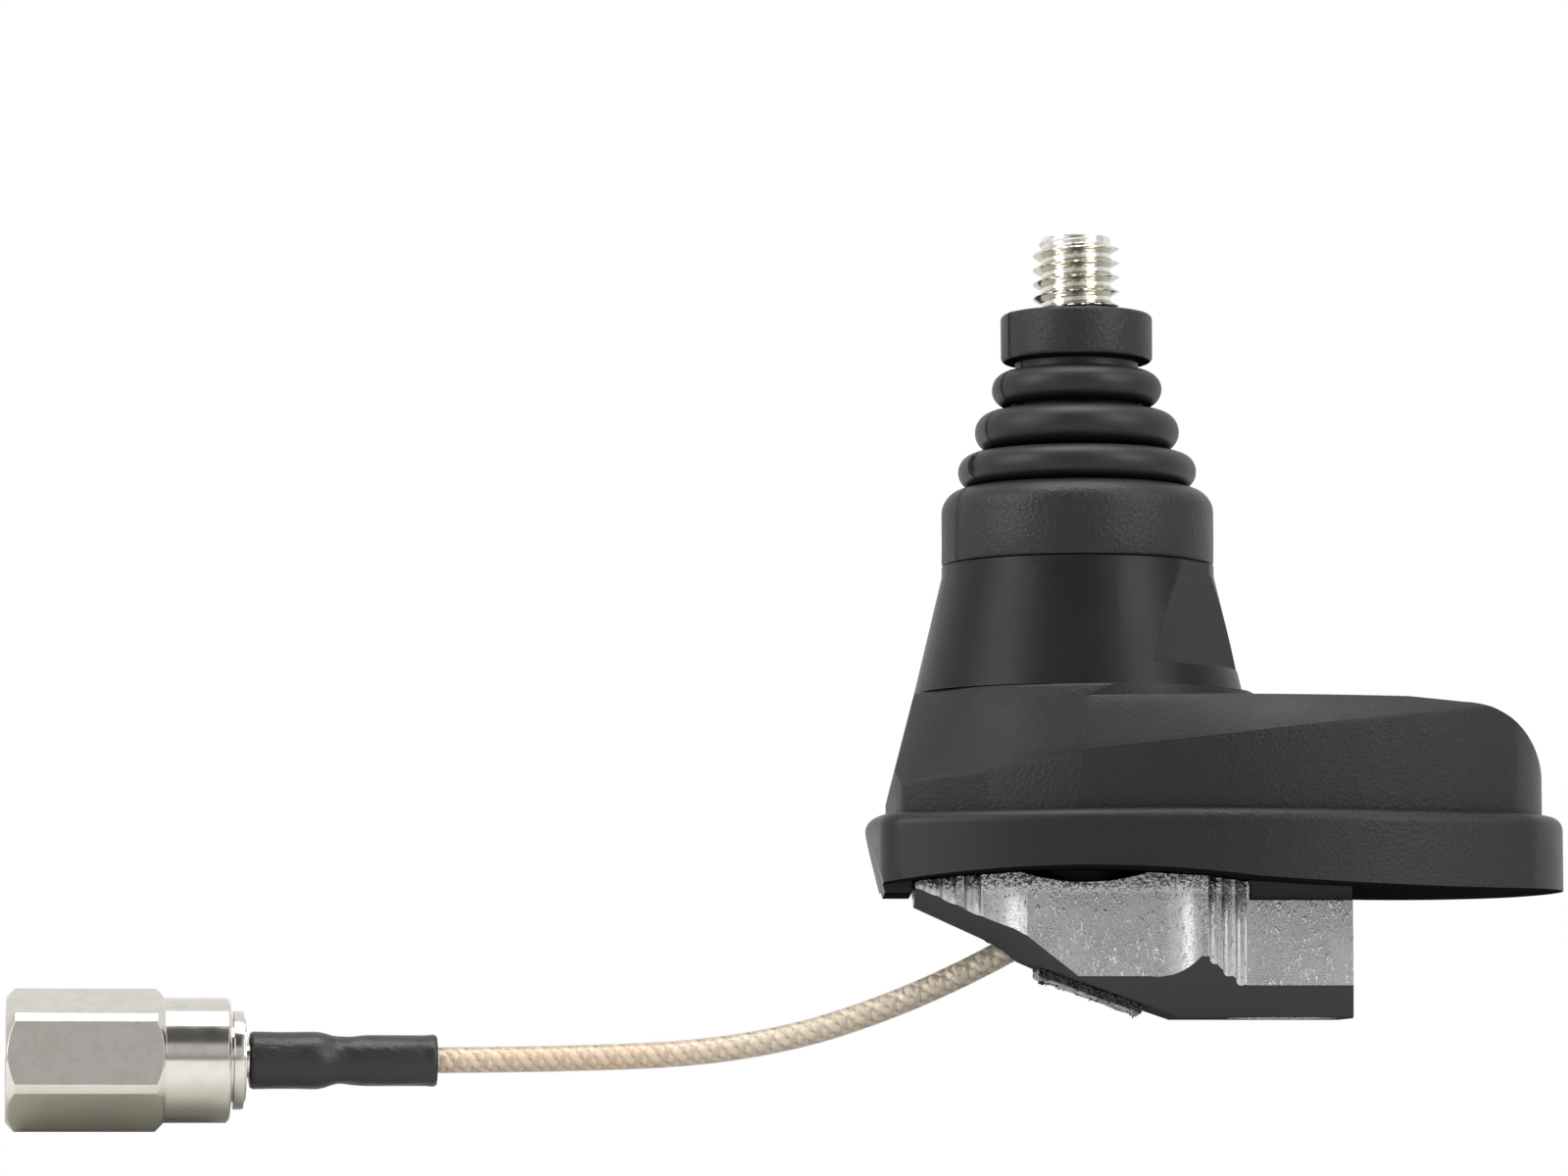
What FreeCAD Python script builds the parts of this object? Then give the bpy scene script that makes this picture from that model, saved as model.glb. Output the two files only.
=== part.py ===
import FreeCAD, Part
import math
import os

# Car roof antenna foot: a sprung mast socket in a rubber boot on a low housing, a gasket that seals to the roof,
# a zinc clamp that grips the roof sheet from below, and a short coaxial lead with a screw-on connector.
# Millimetres. The origin lies on the mast axis at the level of the roof. +X points to the tail, +Z is up.

V = FreeCAD.Vector

# Housing in plan and in height
front_x = -13.3
tail_x = 31.85
front_corner = (front_x + 1.0, 9.0)
widest_point = (3.0, 14.4)
tail_corner = (tail_x - 2.65, 7.4)
front_edge_round = 2.0
tail_edge_round = 3.2
housing_foot_z = 2.2
seat_z = 13.4
seat_rise = 0.8
seat_margin = 0.8
roof_end = (tail_x - 6.2, 12.3)
tail_shoulder = (tail_x - 2.2, 10.85)
tail_round_end_z = 7.0
nose_kick_z = 5.8
crease_front = (front_x + 1.3, 6.9)
crease_angle = 7.2
crease_ends = ((front_x - 0.3, 6.2), (tail_x - 0.35, 6.0))
crease_front_part = ((front_x + 1.6, 9.3), (-7.6, 11.6), (-1.2, 13.78))
crease_tail_part = ((6.0, 14.72), (tail_x / 2, 13.75), (tail_x - 7.45, 10.6))
crease_plan = (crease_ends[0], *crease_front_part, *crease_tail_part, crease_ends[1])
shoulder_ends = ((front_x + 0.9, 0.3), (tail_x - 0.35, 4.2))
shoulder_front_part = ((front_x + 2.8, 4.6), (-7.6, 8.7), (-1.4, 11.4))
shoulder_tail_part = ((6.0, 12.2), (tail_x / 2, 11.2), (tail_x - 7.45, 8.4))
shoulder_plan = (shoulder_ends[0], *shoulder_front_part, *shoulder_tail_part, shoulder_ends[1])
lean_overrun_share = 0.4
roof_edge_round = 0.35
wall = 1.8

# Turret that carries the mast
turret_foot_radius = 11.35
turret_top_radius = 9.4
turret_height = 8.85
turret_lip = 0.7
turret_neck_radius = 8.25
turret_neck_height = 3.95
turret_spigot_radius = 10.3
turret_spigot_depth = 1.4
turret_ceiling = 3.0
facet_distance = 9.2
facet_turn = -32.0
facet_ledge_height = 1.55

# Boot, from its skirt up to its cap
boot_wall = 0.85
skirt_height = 5.4
skirt_top_round = 1.3
groove_radius = 7.2
fold_radii = (8.24, 7.07, 5.88)
fold_heights = (2.46, 2.8, 2.47)
neck_radii = (4.85, 4.2, 4.25)
neck_heights = (0.14, 0.34, 0.66)
boot_bore = 3.35
fold_rim_extra = 0.3
cap_radius = 5.25
cap_height = 3.32
cap_round = 0.35

# Mast stud, spring and the plug under the spring
stud_radius = 3.0
stud_length = 5.35
stud_chamfer = 0.6
stud_neck_radius = 2.6
stud_neck_rise = 0.15
stud_flange_radius = 4.1
stud_flange_height = 1.5
stud_cover = 1.15
stud_pin_length = 2.9
spring_wire = 1.0
spring_radius = 2.6
spring_turns = 7
spring_pin_radius = 2.0
plug_flange_radius = 4.0
plug_flange_height = 1.2
plug_pin_length = 2.8
plug_shank_radius = 3.4
plug_shank_length = 8.0
plug_tail_radius = 1.2

# Gasket between the housing and the roof
gasket_overhang = 1.4
gasket_rim_z = 4.85
gasket_rim_round = 0.9
gasket_front_slope = 16.0
nose_lip = (front_x + 1.7, 5.5, -0.43)
arch_front = (front_x - 2.3, -0.2)
arch_crown = (-3.0, 1.0)
arch_waist = (11.0, 0.3)
arch_sag = (18.0, -0.1)
arch_tail = (tail_x + 2.65, -0.15)
seal_gap = 0.1

# Base plate and what stands on it
plate_thickness = 2.0
plate_gap = 0.15
board_z = 7.6
board_thickness = 1.0
board_half_width = 8.0
board_front_x = -6.5
board_tail_x = 8.6
pillar_radius = 1.7
pillar_spots = ((-4.6, 6.5), (6.6, 6.5))
board_screw_radius = 0.8
board_screw_head = 1.4
board_screw_length = 2.6
can_wall = 0.3
can_height = 2.6
can_half_width = 4.6
can_front_x = -5.9
can_tail_x = 7.6
contact_radius = 2.1
contact_height = 1.7
contact_floor = 0.4

# Screws that hold the housing down on the base plate
housing_screw_spots = ((tail_x - 8.45, 5.6), (front_x + 4.4, 4.4))
housing_screw_radius = 1.2
housing_screw_head = 2.2
housing_screw_head_height = 1.1
housing_screw_length = 6.0
boss_radius = 2.3

# Collar, locating block, clamp and its screw
collar_radius = 6.2
saddle_radius = 14.2
saddle_z = 0.15
block_front_x = 11.2
block_half_width = 7.4
clamp_front_x = -11.4
clamp_tail_x = 18.1
clamp_tail_bow = 0.7
jaw_corner = 0.7
jaw_tail_x = -7.6
jaw_flare = 0.3
waist_span = (-3.9, 4.4)
ridge_land = (7.7, 8.2)
ridge_curve = (6.6, 0.4)
ridge_back = (9.1, 0.8)
stem_start = (10.1, 0.5)
stem_front_x = 10.9
clamp_bottom_z = -8.85
clamp_ledge_z = -1.05
jaw_half_width = 7.1
waist_half_width = 8.5
ridge_half_width = 9.8
stem_half_width = 7.9
chamfer_level = 2.67
ramp_start_x = 6.5
ramp_angle = 19.9
nose_angle = 24.6
nose_side_angle = 9.7
nose_keel = (-6.3, -3.6)
step_angle = 38.3
step_side_angle = 14.0
step_edge = (-4.24, -8.0, -3.33)
tooth_radius = 0.62
tooth_rise = 0.25
tooth_spots = (-10.5, -9.2, -7.55)
flute_radius = 0.42
flute_spots = ((8.7, 0.1), (9.65, 0.9), (10.55, 1.5))
clamp_screw_x = 13.9
clamp_screw_radius = 2.0
clamp_head_radius = 3.5
clamp_head_height = 2.6
clamp_head_sink = 0.8
clamp_key_flats = 3.0
clamp_key_depth = 1.5
head_gap = 0.3
washer_thickness = 0.8
boss_height = 4.0
strip_span = (-2.9, 4.2)
strip_half_width = 4.2
strip_thickness = 0.7

# Coaxial lead: the points of its route, from the board through the clamp to the connector
lead_radius = 0.9
lead_bore_gap = 0.2
arc_share = 0.45
lead_route = (
    (0.95, 0.0, 7.6),
    (0.95, 0.0, -0.95),
    (-10.5, 0.3, -7.25),
    (-22.3, 1.7, -11.05),
    (-37.6, 3.34, -11.72),
    (-52.54, 1.24, -11.72),
)

# Connector, measured along its axis from the edge of the sleeve towards the mating end
spigot_radius = 1.25
spigot_length = 4.6
ferrule_radius = 1.55
ferrule_length = 4.3
back_disc_radius = 2.9
back_disc_start = 0.25
ring_start = 0.4
ring_end = 1.15
ring_radius = 3.4
nut_start = 1.35
collar_end = 5.8
nut_end = 16.6
nut_collar_radius = 4.3
nut_flats = 8.8
nut_edge_round = 0.7
nut_turn = 7.0
nut_chamfer = 0.6
barrel_radius = 2.9
running_gap = 0.06
end_float = 0.12
shoulder_end = 8.3
body_flange_radius = 3.45
body_flange_height = 0.9
thread_bore_radius = 3.63
nut_lip = 0.2
wall_step = 0.5
socket_radius = 2.35
insulator_end = 10.6
contact_pin_radius = 0.5
contact_pin_end = 12.4

# Heat-shrunk sleeve over the ferrule and the lead
sleeve_length = 12.9
sleeve_fat_radius = 1.98
sleeve_waist_radius = 1.64
sleeve_slim_radius = 1.78
sleeve_fat_end = 4.6
sleeve_waist_at = 6.3
sleeve_slim_from = 8.4
sleeve_edge = 0.25
sleeve_slack = 0.1

# Heights that follow from the sizes above
turret_top_z = seat_z + turret_height
turret_neck_z = turret_top_z + turret_neck_height
skirt_top_z = turret_top_z + skirt_height
cap_z = skirt_top_z + sum(fold_heights) + sum(neck_heights)
cap_top_z = cap_z + cap_height
stud_top_z = cap_top_z + stud_length
stud_flange_top_z = cap_top_z - stud_cover
stud_flange_z = stud_flange_top_z - stud_flange_height
plate_top_z = housing_foot_z + plate_thickness
board_top_z = board_z + board_thickness
REACH = 60.0


def radial(r, z):
    return V(r, 0, z)


def plan(x, y):
    return V(x, y, 0)


def line(start, end):
    return Part.LineSegment(start, end).toShape()


def wire(place, start, *steps):
    """A closed outline. A step is the end of a line, or the middle and the end of an arc."""
    first = here = place(*start)
    edges = []
    for step in steps:
        if isinstance(step[0], tuple):
            middle, end = (place(*point) for point in step)
            edges.append(Part.Arc(here, middle, end).toShape())
        else:
            end = place(*step)
            edges.append(line(here, end))
        here = end
    if here.distanceToPoint(first) > 1e-6:
        edges.append(line(here, first))
    return Part.Wire(edges)


def turned(start, *steps):
    """A body of revolution about Z from an outline of radius and height."""
    return Part.Face(wire(radial, start, *steps)).revolve(V(), V(0, 0, 1), 360)


def across(start, *steps):
    """A side outline of x and z, carried right across the part along Y."""
    face = Part.Face(wire(radial, start, *steps))
    face.translate(V(0, -REACH, 0))
    return face.extrude(V(0, 2 * REACH, 0))


def rod(radius, low, high, x=0.0, y=0.0):
    return Part.makeCylinder(radius, high - low, V(x, y, low))


def block(low, high):
    low, high = V(*low), V(*high)
    size = high - low
    return Part.makeBox(size.x, size.y, size.z, low)


def mirrored(shape):
    return shape.mirror(V(), V(0, 1, 0))


def both_sides(spots):
    return [(x, side * y) for x, y in spots for side in (-1, 1)]


def slope_of(degrees):
    return math.tan(math.radians(degrees))


def fused(shapes):
    return shapes[0].multiFuse(shapes[1:]).removeSplitter()


def vertical_edges(shape, near_x):
    """The straight upright edges of a prism that stand within a millimetre of a length."""
    return [
        edge
        for edge in shape.Edges
        if abs(edge.tangentAt(edge.FirstParameter).z) > 0.999
        and abs(edge.CenterOfMass.x - near_x) < 1.0
    ]


def edges_by_tilt(shape, wanted):
    """The edges whose two faces look up by amounts that suit, from -1 for straight down to 1 for straight up."""
    found = []
    for edge in shape.Edges:
        spot = edge.valueAt((edge.FirstParameter + edge.LastParameter) / 2)
        faces = shape.ancestorsOfType(edge, Part.Face)
        tilts = sorted(face.normalAt(*face.Surface.parameter(spot)).z for face in faces)
        if len(tilts) == 2 and wanted(*tilts, spot):
            found.append(edge)
    return found


def half_space(x, y, z, slope_x, slope_y):
    """Everything below the plane through a point that rises to the front and to the near side."""
    corners = [
        V(px, py, z + slope_x * (x - px) + slope_y * (y - py))
        for px, py in ((-REACH, -REACH), (REACH, -REACH), (REACH, REACH), (-REACH, REACH))
    ]
    top = Part.Face(Part.makePolygon(corners + corners[:1]))
    return top.extrude(V(0, 0, -2 * REACH))


# Housing


def foot_outline(grow):
    """The housing's outline in plan, grown or shrunk by an even margin."""
    front, side, tail = front_corner, widest_point, tail_corner
    shape = wire(
        plan,
        (front[0], -front[1]),
        ((side[0], -side[1]), (tail[0], -tail[1])),
        ((tail_x, 0), tail),
        (side, front),
        ((front_x, 0), (front[0], -front[1])),
    )
    return shape.makeOffset2D(grow, 2) if grow else shape


def foot_prism(grow, low, high):
    face = Part.Face(foot_outline(grow))
    face.translate(V(0, 0, low))
    prism = face.extrude(V(0, 0, high - low))
    prism = prism.makeFillet(front_edge_round + grow, vertical_edges(prism, front_corner[0] - grow))
    return prism.makeFillet(tail_edge_round + grow, vertical_edges(prism, tail_corner[0] + grow))


def side_lean(inset):
    """What lies outside the leaning upper part of the near side, between its crease and the turret's foot."""
    edges = []
    for share in (-lean_overrun_share, 1 + lean_overrun_share):
        points = []
        for (foot_x, foot_y), (top_x, top_y) in zip(crease_plan, shoulder_plan):
            crease_z = crease_front[1] + slope_of(crease_angle) * (foot_x - crease_front[0])
            top = V(top_x, inset - top_y, seat_z)
            foot = V(foot_x, inset - foot_y, crease_z)
            points.append(top + (foot - top) * share)
        curve = Part.BSplineCurve()
        curve.interpolate(points)
        edges.append(curve.toShape())
    return Part.makeRuledSurface(*edges).extrude(V(0, -REACH, 0))


def side_silhouette(inset, low):
    """The housing seen from the side: leaning nose, turret seat, falling roof and round tail."""
    slant = inset * math.sqrt(0.5)
    return across(
        (front_x + inset, low),
        (front_x + inset, nose_kick_z),
        (-turret_foot_radius + inset, seat_z - inset),
        (turret_foot_radius, seat_z - inset),
        (roof_end[0], roof_end[1] - inset),
        ((tail_shoulder[0] - slant, tail_shoulder[1] - slant), (tail_x - inset, tail_round_end_z)),
        (tail_x - inset, low),
    )


def around_seat(inset):
    """What lies above the roof behind the raised round seat of the turret."""
    above = block((0, -REACH, seat_z - seat_rise - inset), (REACH, REACH, REACH))
    return above.cut(rod(turret_foot_radius + seat_margin, 0, REACH))


def housing_block(inset, low):
    """The housing's outer form, or the same form shrunk by a wall."""
    lean = side_lean(inset)
    shape = foot_prism(-inset, low, seat_z + 1).common(side_silhouette(inset, low))
    return shape.cut(lean).cut(mirrored(lean)).cut(around_seat(inset))


def softened(block):
    """The same form with the edges of its roof and its nose rounded."""
    roof = edges_by_tilt(block, lambda low, high, spot: 0.1 < low < 0.8 < high)
    nose = edges_by_tilt(block, lambda low, high, spot: 0.1 < low and high < 0.8 and spot.x < 0)
    return block.makeFillet(roof_edge_round, roof + nose)


def roof_housing():
    shell = softened(housing_block(0, housing_foot_z)).cut(housing_block(wall, housing_foot_z - 1))
    bosses = [
        rod(boss_radius, plate_top_z, seat_z, x, y).common(housing_block(wall / 2, plate_top_z))
        for x, y in both_sides(housing_screw_spots)
    ]
    shell = fused([shell] + bosses)
    shell = shell.cut(rod(turret_spigot_radius + seal_gap / 2, seat_z - 2 * wall, seat_z + 1))
    for x, y in both_sides(housing_screw_spots):
        top = housing_foot_z + housing_screw_length
        shell = shell.cut(rod(housing_screw_radius, 0, top, x, y))
    return shell


# Turret, boot, stud and spring


def mast_turret():
    foot_z = seat_z - turret_spigot_depth
    lip_z = turret_top_z - turret_lip
    ceiling_z = turret_top_z - turret_ceiling
    body = turned(
        (turret_spigot_radius - wall, foot_z),
        (turret_spigot_radius, foot_z),
        (turret_spigot_radius, seat_z),
        (turret_foot_radius, seat_z),
        (turret_top_radius, lip_z),
        (turret_top_radius, turret_top_z),
        (turret_neck_radius, turret_top_z),
        (turret_neck_radius, turret_neck_z),
        (plug_flange_radius, turret_neck_z),
        (plug_flange_radius, turret_neck_z - plug_flange_height),
        (plug_shank_radius, turret_neck_z - plug_flange_height),
        (plug_shank_radius, ceiling_z - wall),
        (plug_shank_radius + wall, ceiling_z - wall),
        (plug_shank_radius + wall, ceiling_z),
        (turret_top_radius - wall - turret_lip, ceiling_z),
    )
    ledge_z = seat_z + facet_ledge_height
    facet = block((facet_distance, -REACH, ledge_z), (REACH, REACH, turret_top_z))
    facet.rotate(V(), V(0, 0, 1), facet_turn)
    return body.cut(facet)


def boot_folds(low):
    """The outer outline of the folds and the necks between them, from the skirt up."""
    steps = []
    root, z = groove_radius, low
    for rim, height, neck, gap in zip(fold_radii, fold_heights, neck_radii, neck_heights):
        half = height / 2
        steps += [(root, z), (rim - half, z), ((rim, z + half), (rim - half, z + height)), (neck, z + height)]
        z += height + gap
        root = neck
    return steps + [(root, z)]


def boot_hollows(low):
    """The inner outline, from the cap down: one hollow inside each fold."""
    rooms = []
    z = low
    for rim, height, gap in zip(fold_radii, fold_heights, neck_heights):
        rooms.append((rim - boot_wall - fold_rim_extra, z + boot_wall, z + height - boot_wall))
        z += height + gap
    steps = []
    for rim, bottom, top in reversed(rooms):
        steps += [(boot_bore, top), (rim, top), (rim, bottom), (boot_bore, bottom)]
    return steps


def rubber_boot():
    shoulder = skirt_top_round
    skirt = turret_top_radius
    corner = shoulder * (1 - math.sqrt(0.5))
    rise = cap_round * (1 - math.sqrt(0.5))
    return turned(
        (turret_neck_radius, turret_top_z),
        (skirt, turret_top_z),
        (skirt, skirt_top_z - shoulder),
        ((skirt - corner, skirt_top_z - corner), (skirt - shoulder, skirt_top_z)),
        *boot_folds(skirt_top_z),
        (cap_radius - cap_round, cap_z),
        ((cap_radius - rise, cap_z + rise), (cap_radius, cap_z + cap_round)),
        (cap_radius, cap_top_z - cap_round),
        ((cap_radius - rise, cap_top_z - rise), (cap_radius - cap_round, cap_top_z)),
        (stud_neck_radius, cap_top_z),
        (stud_neck_radius, stud_flange_top_z),
        (stud_flange_radius, stud_flange_top_z),
        (stud_flange_radius, stud_flange_z),
        (boot_bore, stud_flange_z),
        *boot_hollows(skirt_top_z),
        (boot_bore, turret_neck_z),
        (turret_neck_radius, turret_neck_z),
    )


def mast_stud():
    neck_top_z = cap_top_z + stud_neck_rise
    return turned(
        (0, stud_flange_z - stud_pin_length),
        (spring_pin_radius, stud_flange_z - stud_pin_length),
        (spring_pin_radius, stud_flange_z),
        (stud_flange_radius, stud_flange_z),
        (stud_flange_radius, stud_flange_top_z),
        (stud_neck_radius, stud_flange_top_z),
        (stud_neck_radius, neck_top_z),
        (stud_radius, neck_top_z + stud_radius - stud_neck_radius),
        (stud_radius, stud_top_z - stud_chamfer),
        (stud_radius - stud_chamfer, stud_top_z),
        (0, stud_top_z),
    )


def mast_spring():
    low = turret_neck_z + spring_wire / 2
    high = stud_flange_z - spring_wire / 2
    helix = Part.makeHelix((high - low) / spring_turns, high - low, spring_radius)
    helix.translate(V(0, 0, low))
    section = Part.Wire(Part.makeCircle(spring_wire / 2, V(spring_radius, 0, low), V(0, 1, 0)))
    return Part.Wire(helix.Edges).makePipeShell([section], True, True)


def spring_plug():
    flange_z = turret_neck_z - plug_flange_height
    shank_z = flange_z - plug_shank_length
    plug_tail_z = board_top_z + contact_floor
    return turned(
        (0, plug_tail_z),
        (plug_tail_radius, plug_tail_z),
        (plug_tail_radius, shank_z),
        (plug_shank_radius, shank_z),
        (plug_shank_radius, flange_z),
        (plug_flange_radius, flange_z),
        (plug_flange_radius, turret_neck_z),
        (spring_pin_radius, turret_neck_z),
        (spring_pin_radius, turret_neck_z + plug_pin_length),
        (0, turret_neck_z + plug_pin_length),
    )


# Gasket and base plate


def below_arch(drop):
    """What lies under the arched underside that follows the car's roof."""
    at = [(x, z - drop) for x, z in (arch_front, arch_crown, arch_waist, arch_sag, arch_tail)]
    front_z, tail_z = at[0][1], at[4][1]
    ends = ((REACH, tail_z), (REACH, -REACH), (-REACH, -REACH))
    return across((-REACH, front_z), at[0], (at[1], at[2]), (at[3], at[4]), *ends)


def above_arch(drop):
    """What lies above the same arch, a little lower, where the clamp stops short of the gasket."""
    return block((-REACH, -REACH, -REACH / 2), (REACH, REACH, REACH / 2)).cut(below_arch(drop))


def roof_gasket():
    body = foot_prism(gasket_overhang, arch_front[1] - 1, gasket_rim_z)
    rim = [
        edge
        for edge in body.Edges
        if abs(edge.BoundBox.ZMin - gasket_rim_z) < 1e-6 and abs(edge.BoundBox.ZMax - gasket_rim_z) < 1e-6
    ]
    body = body.makeFillet(gasket_rim_round, rim)
    outer_x = front_x - gasket_overhang
    kick_z = gasket_rim_z - gasket_rim_round
    drop = kick_z + REACH
    slope = math.tan(math.radians(gasket_front_slope))
    front = across((outer_x, kick_z), (outer_x + drop * slope, -REACH), (-REACH, -REACH), (-REACH, kick_z))
    lip_tail_x, lip_half_width, lip_z = nose_lip
    lip = block((-REACH, -lip_half_width, lip_z), (lip_tail_x, lip_half_width, REACH))
    body = body.cut(front).cut(below_arch(0).cut(lip))
    body = body.cut(foot_prism(0, housing_foot_z, gasket_rim_z + 1))
    body = body.cut(rod(collar_radius + seal_gap, -REACH, REACH))
    return body.cut(block_space(block_front_x - seal_gap, block_half_width + seal_gap, -REACH, REACH))


def block_space(front, half_width, low, high):
    return block((front, -half_width, low), (clamp_tail_x, half_width, high))


def base_plate():
    plate = foot_prism(-wall - plate_gap, housing_foot_z, plate_top_z)
    pillars = [rod(pillar_radius, housing_foot_z, board_z, x, y) for x, y in both_sides(pillar_spots)]
    boss = rod(2 * clamp_screw_radius, housing_foot_z, plate_top_z + boss_height, clamp_screw_x)
    plate = fused([plate, boss] + pillars)
    plate = plate.cut(rod(clamp_screw_radius, 0, REACH, clamp_screw_x))
    for x, y in both_sides(housing_screw_spots):
        plate = plate.cut(rod(housing_screw_radius, 0, REACH, x, y))
        plate = plate.cut(rod(housing_screw_head, 0, housing_foot_z + housing_screw_head_height, x, y))
    for x, y in both_sides(pillar_spots):
        plate = plate.cut(rod(board_screw_radius, board_top_z - board_screw_length, REACH, x, y))
    return plate.cut(lead_tube(lead_radius + lead_bore_gap))


def circuit_board():
    board = block((board_front_x, -board_half_width, board_z), (board_tail_x, board_half_width, board_top_z))
    for x, y in both_sides(pillar_spots):
        board = board.cut(rod(board_screw_radius, 0, REACH, x, y))
    return board


def board_screws():
    screws = []
    for x, y in both_sides(pillar_spots):
        shank = rod(board_screw_radius, board_top_z - board_screw_length, board_top_z, x, y)
        head = rod(board_screw_head, board_top_z, board_top_z + board_screw_head, x, y)
        screws.append(shank.fuse(head).removeSplitter())
    return Part.Compound(screws)


def screening_can():
    low, high = board_top_z, board_top_z + can_height
    outer = block((can_front_x, -can_half_width, low), (can_tail_x, can_half_width, high))
    inner = block(
        (can_front_x + can_wall, -can_half_width + can_wall, low),
        (can_tail_x - can_wall, can_half_width - can_wall, high - can_wall),
    )
    return outer.cut(inner).cut(rod(contact_radius, low, high))


def board_contact():
    cup = rod(contact_radius - 2 * can_wall, board_top_z, board_top_z + contact_height)
    return cup.cut(rod(plug_tail_radius, board_top_z + contact_floor, REACH))


def housing_screws():
    screws = []
    for x, y in both_sides(housing_screw_spots):
        shank = rod(housing_screw_radius, housing_foot_z, housing_foot_z + housing_screw_length, x, y)
        head = rod(housing_screw_head, housing_foot_z, housing_foot_z + housing_screw_head_height, x, y)
        screws.append(shank.fuse(head).removeSplitter())
    return Part.Compound(screws)


# Collar, block, clamp, strip and screw


def saddle(grow):
    """The lying cylinder on which the clamp can rock to follow the roof's slope."""
    start = V(0, -REACH, saddle_z + saddle_radius)
    return Part.makeCylinder(saddle_radius + grow, 2 * REACH, start, V(0, 1, 0))


def spigot_collar():
    body = rod(collar_radius, saddle_z - 1, housing_foot_z)
    return body.common(saddle(-seal_gap)).cut(lead_tube(lead_radius + lead_bore_gap))


def locating_block():
    body = block_space(block_front_x, block_half_width, clamp_ledge_z, housing_foot_z)
    return body.cut(rod(clamp_screw_radius + seal_gap, -REACH, REACH, clamp_screw_x))


def casting_blank():
    """The casting's outline in plan, pulled up to full height: jaw, waist, ridge and stem."""
    jaw, waist, ridge, stem = jaw_half_width, waist_half_width, ridge_half_width, stem_half_width
    half = wire(
        plan,
        (clamp_front_x, 0),
        (clamp_front_x, jaw_corner - jaw),
        (clamp_front_x + jaw_corner, -jaw),
        (jaw_tail_x, -jaw),
        (((jaw_tail_x + waist_span[0]) / 2, -jaw - jaw_flare), (waist_span[0], -waist)),
        (waist_span[1], -waist),
        ((ridge_curve[0], -waist - ridge_curve[1]), (ridge_land[0], -ridge)),
        (ridge_land[1], -ridge),
        (ridge_back[0], ridge_back[1] - ridge),
        (stem_start[0], -stem - stem_start[1]),
        (stem_front_x, -stem),
        (clamp_tail_x, -stem),
        (clamp_tail_x + clamp_tail_bow, 0),
    )
    face = Part.Face(half)
    face.translate(V(0, 0, clamp_bottom_z))
    side = face.extrude(V(0, 0, arch_crown[1] - clamp_bottom_z))
    return fused([side, mirrored(side)])


def clamp_grooves():
    """Upright teeth at the jaw and flutes behind the ridge, on the near side."""
    ridge = ridge_half_width
    teeth = [rod(tooth_radius, -REACH, REACH, x, -jaw_half_width - tooth_rise) for x in tooth_spots]
    flutes = [rod(flute_radius, -REACH, REACH, x, drop - ridge) for x, drop in flute_spots]
    return teeth + flutes


def under_chamfer():
    """What lies below the sloping lower part of the near wall."""
    return half_space(0, -waist_half_width, clamp_bottom_z + chamfer_level, 0, 1)


def under_ramp():
    return half_space(ramp_start_x, 0, clamp_bottom_z, slope_of(ramp_angle), 0)


def under_nose():
    """The hollow under the near side of the jaw: a shallow sloping face that ends at a steep step."""
    nose = half_space(nose_keel[0], 0, nose_keel[1], slope_of(nose_angle), slope_of(nose_side_angle))
    step = half_space(*step_edge, slope_of(step_angle), slope_of(step_side_angle))
    return nose.common(step)


def roof_clamp():
    body = casting_blank().cut(above_arch(seal_gap)).cut(saddle(0))
    body = body.cut(block((block_front_x - seal_gap, -REACH, clamp_ledge_z), (REACH, REACH, REACH)))
    body = body.cut(under_ramp())
    for cutter in clamp_grooves() + [under_chamfer(), under_nose()]:
        body = body.cut(cutter).cut(mirrored(cutter))
    head_z = clamp_bottom_z + clamp_head_sink + clamp_head_height + washer_thickness
    body = body.cut(rod(clamp_head_radius + head_gap, -REACH, head_z, clamp_screw_x))
    body = body.cut(rod(clamp_screw_radius + seal_gap, -REACH, REACH, clamp_screw_x))
    return body.cut(lead_tube(lead_radius + lead_bore_gap))


def hexagon_rod(flats, length):
    """A six-sided bar along +X from the origin, with a flat towards +Y."""
    corner = flats / math.sqrt(3)
    angles = [math.radians(60 * step) for step in range(7)]
    points = [V(0, corner * math.sin(angle), corner * math.cos(angle)) for angle in angles]
    return Part.Face(Part.makePolygon(points)).extrude(V(length, 0, 0))


def clamp_screw():
    head_z = clamp_bottom_z + clamp_head_sink
    head = rod(clamp_head_radius, head_z, head_z + clamp_head_height, clamp_screw_x)
    shank = rod(clamp_screw_radius, head_z, plate_top_z + boss_height, clamp_screw_x)
    key = hexagon_rod(clamp_key_flats, clamp_key_depth)
    key.rotate(V(), V(0, 1, 0), -90)
    key.translate(V(clamp_screw_x, 0, head_z))
    return head.fuse(shank).removeSplitter().cut(key)


def clamp_washer():
    low = clamp_bottom_z + clamp_head_sink + clamp_head_height
    ring = rod(clamp_head_radius - seal_gap, low, low + washer_thickness, clamp_screw_x)
    return ring.cut(rod(clamp_screw_radius + seal_gap, -REACH, REACH, clamp_screw_x))


def rattle_strip():
    """A strip stuck to the ramp, so it is tilted with it."""
    length = (strip_span[1] - strip_span[0]) / math.cos(math.radians(ramp_angle))
    strip = block((-length, -strip_half_width, -strip_thickness), (0, strip_half_width, 0))
    strip.rotate(V(), V(0, 1, 0), ramp_angle)
    start_z = clamp_bottom_z + (ramp_start_x - strip_span[1]) * slope_of(ramp_angle)
    strip.translate(V(strip_span[1], 0, start_z))
    return strip


# Lead and connector


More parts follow.
